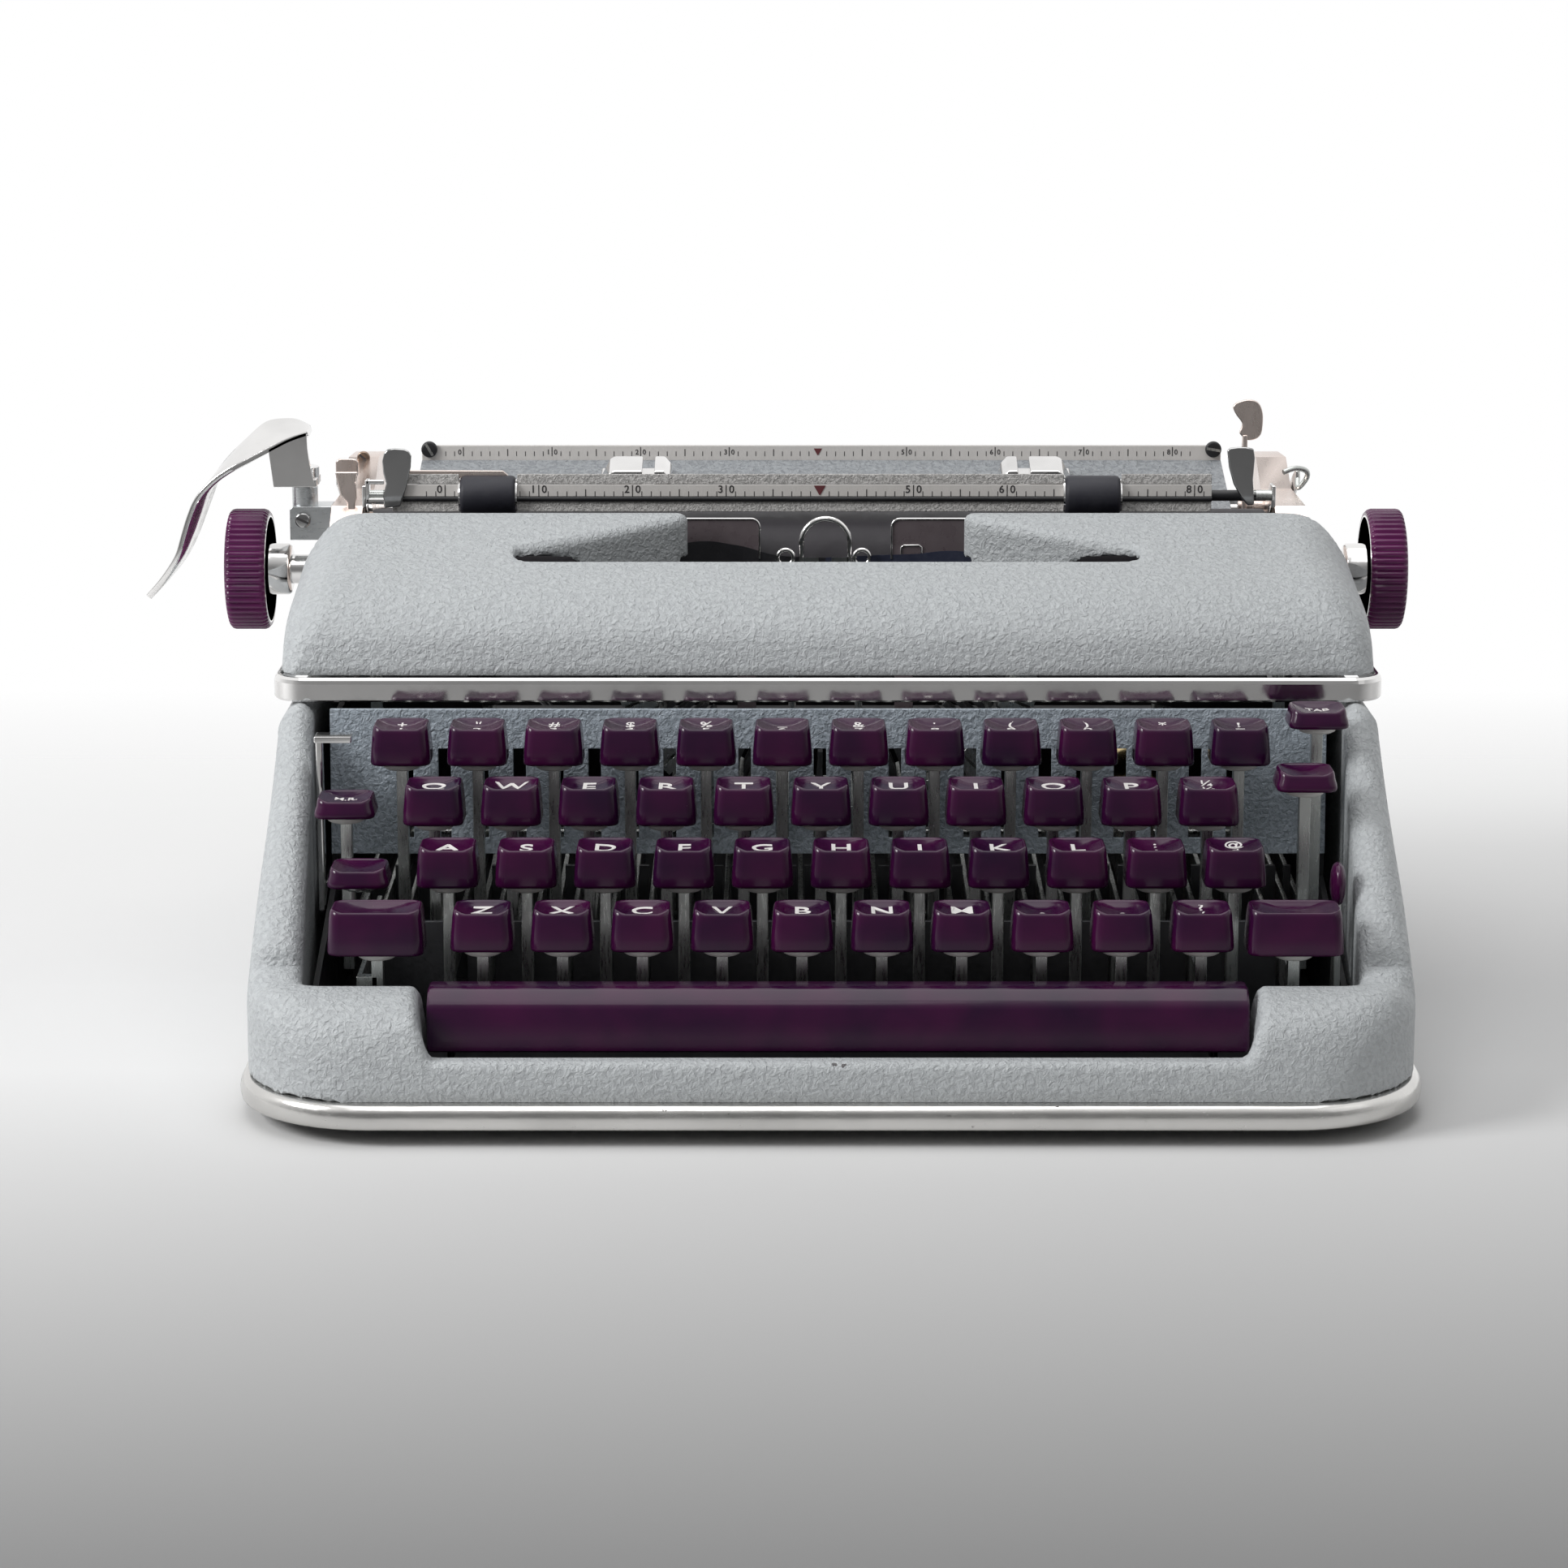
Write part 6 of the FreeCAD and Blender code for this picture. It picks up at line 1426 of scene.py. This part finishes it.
# name, place, side of the square and power of each lamp
LAMPS = (
    ("key_lamp", (-1.15, -0.50, 0.85), 0.55, 13.4),
    ("fill_lamp", (1.00, -0.70, 0.80), 0.8, 0.6),
    ("top_lamp", (0.0, 0.05, 1.35), 1.1, 5.8),
    ("front_lamp", (-0.20, -0.85, 1.35), 0.7, 2.2),
)


# The camera's lens in millimetres, its place in metres and its angle from straight down
LENS, CAMERA_PLACE, CAMERA_ANGLE = 96.89, (0.00275, -1.0864, 0.286), 78


def make_stage():
    """The pale floor, soft lamps, white surroundings and the camera at the photograph's angle."""
    scene = bpy.context.scene
    scene.view_settings.view_transform = "Standard"
    scene.world = surroundings()
    floor = bpy.data.meshes.new("floor")
    reach = 3.0
    floor.from_pydata([(-reach, -reach, 0), (reach, -reach, 0), (reach, reach, 0), (-reach, reach, 0)], [],
                      [(0, 1, 2, 3)])
    ground = bpy.data.objects.new("floor", floor)
    scene.collection.objects.link(ground)
    floor.materials.append(floor_paint())
    for name, spot, size, power in LAMPS:
        data = bpy.data.lights.new(name, "AREA")
        data.shape = "SQUARE"
        data.size = size
        data.energy = power
        lamp = bpy.data.objects.new(name, data)
        lamp.location = spot
        aim = Vector((0, 0, 0.06)) - Vector(spot)
        lamp.rotation_euler = aim.to_track_quat("-Z", "Y").to_euler()
        scene.collection.objects.link(lamp)
    data = bpy.data.cameras.new("camera")
    data.lens = LENS
    data.sensor_width = 36
    camera = bpy.data.objects.new("camera", data)
    camera.location = CAMERA_PLACE
    camera.rotation_euler = (math.radians(CAMERA_ANGLE), 0, 0)
    scene.collection.objects.link(camera)
    scene.camera = camera


# Operators

class MakeStage(bpy.types.Operator):
    """Lays the floor and sets the lamps, the surroundings and the camera."""
    bl_idname = "typewriter.stage"
    bl_label = "Stage"

    def execute(self, context):
        make_stage()
        return {"FINISHED"}


class MakeCasing(bpy.types.Operator):
    """Builds the casing shell."""
    bl_idname = "typewriter.casing"
    bl_label = "Casing"

    def execute(self, context):
        make_casing(millimetres(context.scene.typewriter_body))
        return {"FINISHED"}


class MakeBaseTrim(bpy.types.Operator):
    """Builds the polished moulding round the foot."""
    bl_idname = "typewriter.base_trim"
    bl_label = "Base trim"

    def execute(self, context):
        make_base_trim(millimetres(context.scene.typewriter_body))
        return {"FINISHED"}


class MakeBase(bpy.types.Operator):
    """Finishes the base plate and turns the rubber feet."""
    bl_idname = "typewriter.base"
    bl_label = "Base and feet"

    def execute(self, context):
        make_base(millimetres(context.scene.typewriter_body))
        return {"FINISHED"}


class MakeCover(bpy.types.Operator):
    """Builds the ribbon cover with its slot and ears."""
    bl_idname = "typewriter.cover"
    bl_label = "Ribbon cover"

    def execute(self, context):
        make_cover(millimetres(context.scene.typewriter_cover))
        return {"FINISHED"}


class MakeCoverTrim(bpy.types.Operator):
    """Builds the strip that the cover stands on."""
    bl_idname = "typewriter.cover_trim"
    bl_label = "Cover trim"

    def execute(self, context):
        make_cover_trim(millimetres(context.scene.typewriter_cover))
        return {"FINISHED"}


class MakeRows(bpy.types.Operator):
    """Builds the four rows of keys."""
    bl_idname = "typewriter.rows"
    bl_label = "Key rows"

    def execute(self, context):
        make_rows(millimetres(context.scene.typewriter_keys))
        return {"FINISHED"}


class MakeSideKeys(bpy.types.Operator):
    """Builds the shift, lock and function keys."""
    bl_idname = "typewriter.side_keys"
    bl_label = "Side keys"

    def execute(self, context):
        make_side_keys(millimetres(context.scene.typewriter_keys))
        return {"FINISHED"}


class MakeSpaceBar(bpy.types.Operator):
    """Builds the space bar on its arms."""
    bl_idname = "typewriter.space_bar"
    bl_label = "Space bar"

    def execute(self, context):
        make_space_bar(millimetres(context.scene.typewriter_keys))
        return {"FINISHED"}


class MakeSmallLevers(bpy.types.Operator):
    """Builds the tab set lever and the ribbon selector."""
    bl_idname = "typewriter.small_levers"
    bl_label = "Small levers"

    def execute(self, context):
        make_small_levers()
        return {"FINISHED"}


class MakeTypeBasket(bpy.types.Operator):
    """Finishes the segment, typebars, combs and panel."""
    bl_idname = "typewriter.type_basket"
    bl_label = "Type basket"

    def execute(self, context):
        make_type_basket()
        return {"FINISHED"}


class MakeCardHolders(bpy.types.Operator):
    """Builds the card holders and the type guide."""
    bl_idname = "typewriter.card_holders"
    bl_label = "Card holders"

    def execute(self, context):
        make_card_holders()
        return {"FINISHED"}


class MakeVibrator(bpy.types.Operator):
    """Builds the arms that hold the ribbon."""
    bl_idname = "typewriter.vibrator"
    bl_label = "Ribbon vibrator"

    def execute(self, context):
        make_vibrator()
        return {"FINISHED"}


class MakeRibbon(bpy.types.Operator):
    """Hangs the ribbon between its spools."""
    bl_idname = "typewriter.ribbon"
    bl_label = "Ribbon"

    def execute(self, context):
        make_ribbon()
        return {"FINISHED"}


class MakeFrame(bpy.types.Operator):
    """Finishes the frame, bell, drum and rail."""
    bl_idname = "typewriter.frame"
    bl_label = "Frame"

    def execute(self, context):
        make_frame()
        return {"FINISHED"}


class MakeCarriageFrame(bpy.types.Operator):
    """Finishes the carriage frame and its screws."""
    bl_idname = "typewriter.carriage_frame"
    bl_label = "Carriage frame"

    def execute(self, context):
        make_carriage_frame()
        return {"FINISHED"}


class MakePlaten(bpy.types.Operator):
    """Builds the rubber platen."""
    bl_idname = "typewriter.platen"
    bl_label = "Platen"

    def execute(self, context):
        make_platen(millimetres(context.scene.typewriter_carriage))
        return {"FINISHED"}


class MakeKnobs(bpy.types.Operator):
    """Builds the two ribbed knobs."""
    bl_idname = "typewriter.knobs"
    bl_label = "Platen knobs"

    def execute(self, context):
        make_knobs(millimetres(context.scene.typewriter_carriage))
        return {"FINISHED"}


class MakeFeedRollers(bpy.types.Operator):
    """Finishes the feed rollers."""
    bl_idname = "typewriter.feed_rollers"
    bl_label = "Feed rollers"

    def execute(self, context):
        make_feed()
        return {"FINISHED"}


class MakePaperTable(bpy.types.Operator):
    """Finishes the paper table and builds its scale."""
    bl_idname = "typewriter.paper_table"
    bl_label = "Paper table"

    def execute(self, context):
        make_table()
        return {"FINISHED"}


class MakePaperGuides(bpy.types.Operator):
    """Builds the two sliding paper guides."""
    bl_idname = "typewriter.paper_guides"
    bl_label = "Paper guides"

    def execute(self, context):
        make_paper_guides()
        return {"FINISHED"}


class MakePaperBail(bpy.types.Operator):
    """Builds the bail with its scale, ears and wheels."""
    bl_idname = "typewriter.paper_bail"
    bl_label = "Paper bail"

    def execute(self, context):
        make_bail(millimetres(context.scene.typewriter_carriage))
        return {"FINISHED"}


class MakeReturnLever(bpy.types.Operator):
    """Builds the return lever and its bracket."""
    bl_idname = "typewriter.return_lever"
    bl_label = "Return lever"

    def execute(self, context):
        make_return_lever()
        return {"FINISHED"}


class MakeReleaseLevers(bpy.types.Operator):
    """Builds the carriage and paper release levers."""
    bl_idname = "typewriter.release_levers"
    bl_label = "Release levers"

    def execute(self, context):
        make_release_levers()
        return {"FINISHED"}


OPERATORS = (
    MakeStage, MakeCasing, MakeBaseTrim, MakeBase, MakeCover, MakeCoverTrim, MakeRows, MakeSideKeys,
    MakeSpaceBar, MakeSmallLevers, MakeTypeBasket, MakeCardHolders, MakeVibrator, MakeRibbon, MakeFrame,
    MakeCarriageFrame, MakePlaten, MakeKnobs, MakeFeedRollers, MakePaperTable, MakePaperGuides,
    MakePaperBail, MakeReturnLever, MakeReleaseLevers,
)


class TYPEWRITER_PT_pieces(bpy.types.Panel):
    """Lists the pieces of the typewriter and the sizes and colours they are built from."""
    bl_label = "Typewriter"
    bl_idname = "TYPEWRITER_PT_pieces"
    bl_space_type = "VIEW_3D"
    bl_region_type = "UI"
    bl_category = "Typewriter"

    def draw(self, context):
        for group in GROUPS:
            sizes = getattr(context.scene, group)
            box = self.layout.box()
            for name in sizes.bl_rna.properties.keys():
                if name not in ("rna_type", "name"):
                    box.prop(sizes, name)
        for made in OPERATORS:
            self.layout.operator(made.bl_idname)


def register():
    """Adds the sizes, the colours, the operators and the panel."""
    for name, group in GROUPS.items():
        bpy.utils.register_class(group)
        setattr(bpy.types.Scene, name, PointerProperty(type=group))
    for made in (*OPERATORS, TYPEWRITER_PT_pieces):
        bpy.utils.register_class(made)


def unregister():
    """Takes them away again."""
    for made in (TYPEWRITER_PT_pieces, *reversed(OPERATORS)):
        bpy.utils.unregister_class(made)
    for name, group in GROUPS.items():
        delattr(bpy.types.Scene, name)
        bpy.utils.unregister_class(group)


def main():
    """Builds every piece."""
    register()
    PAINTS.update(make_materials(bpy.context.scene.typewriter_colours))
    for made in OPERATORS:
        getattr(bpy.ops.typewriter, made.bl_idname.split(".")[1])()


if __name__ == "__main__":
    main()
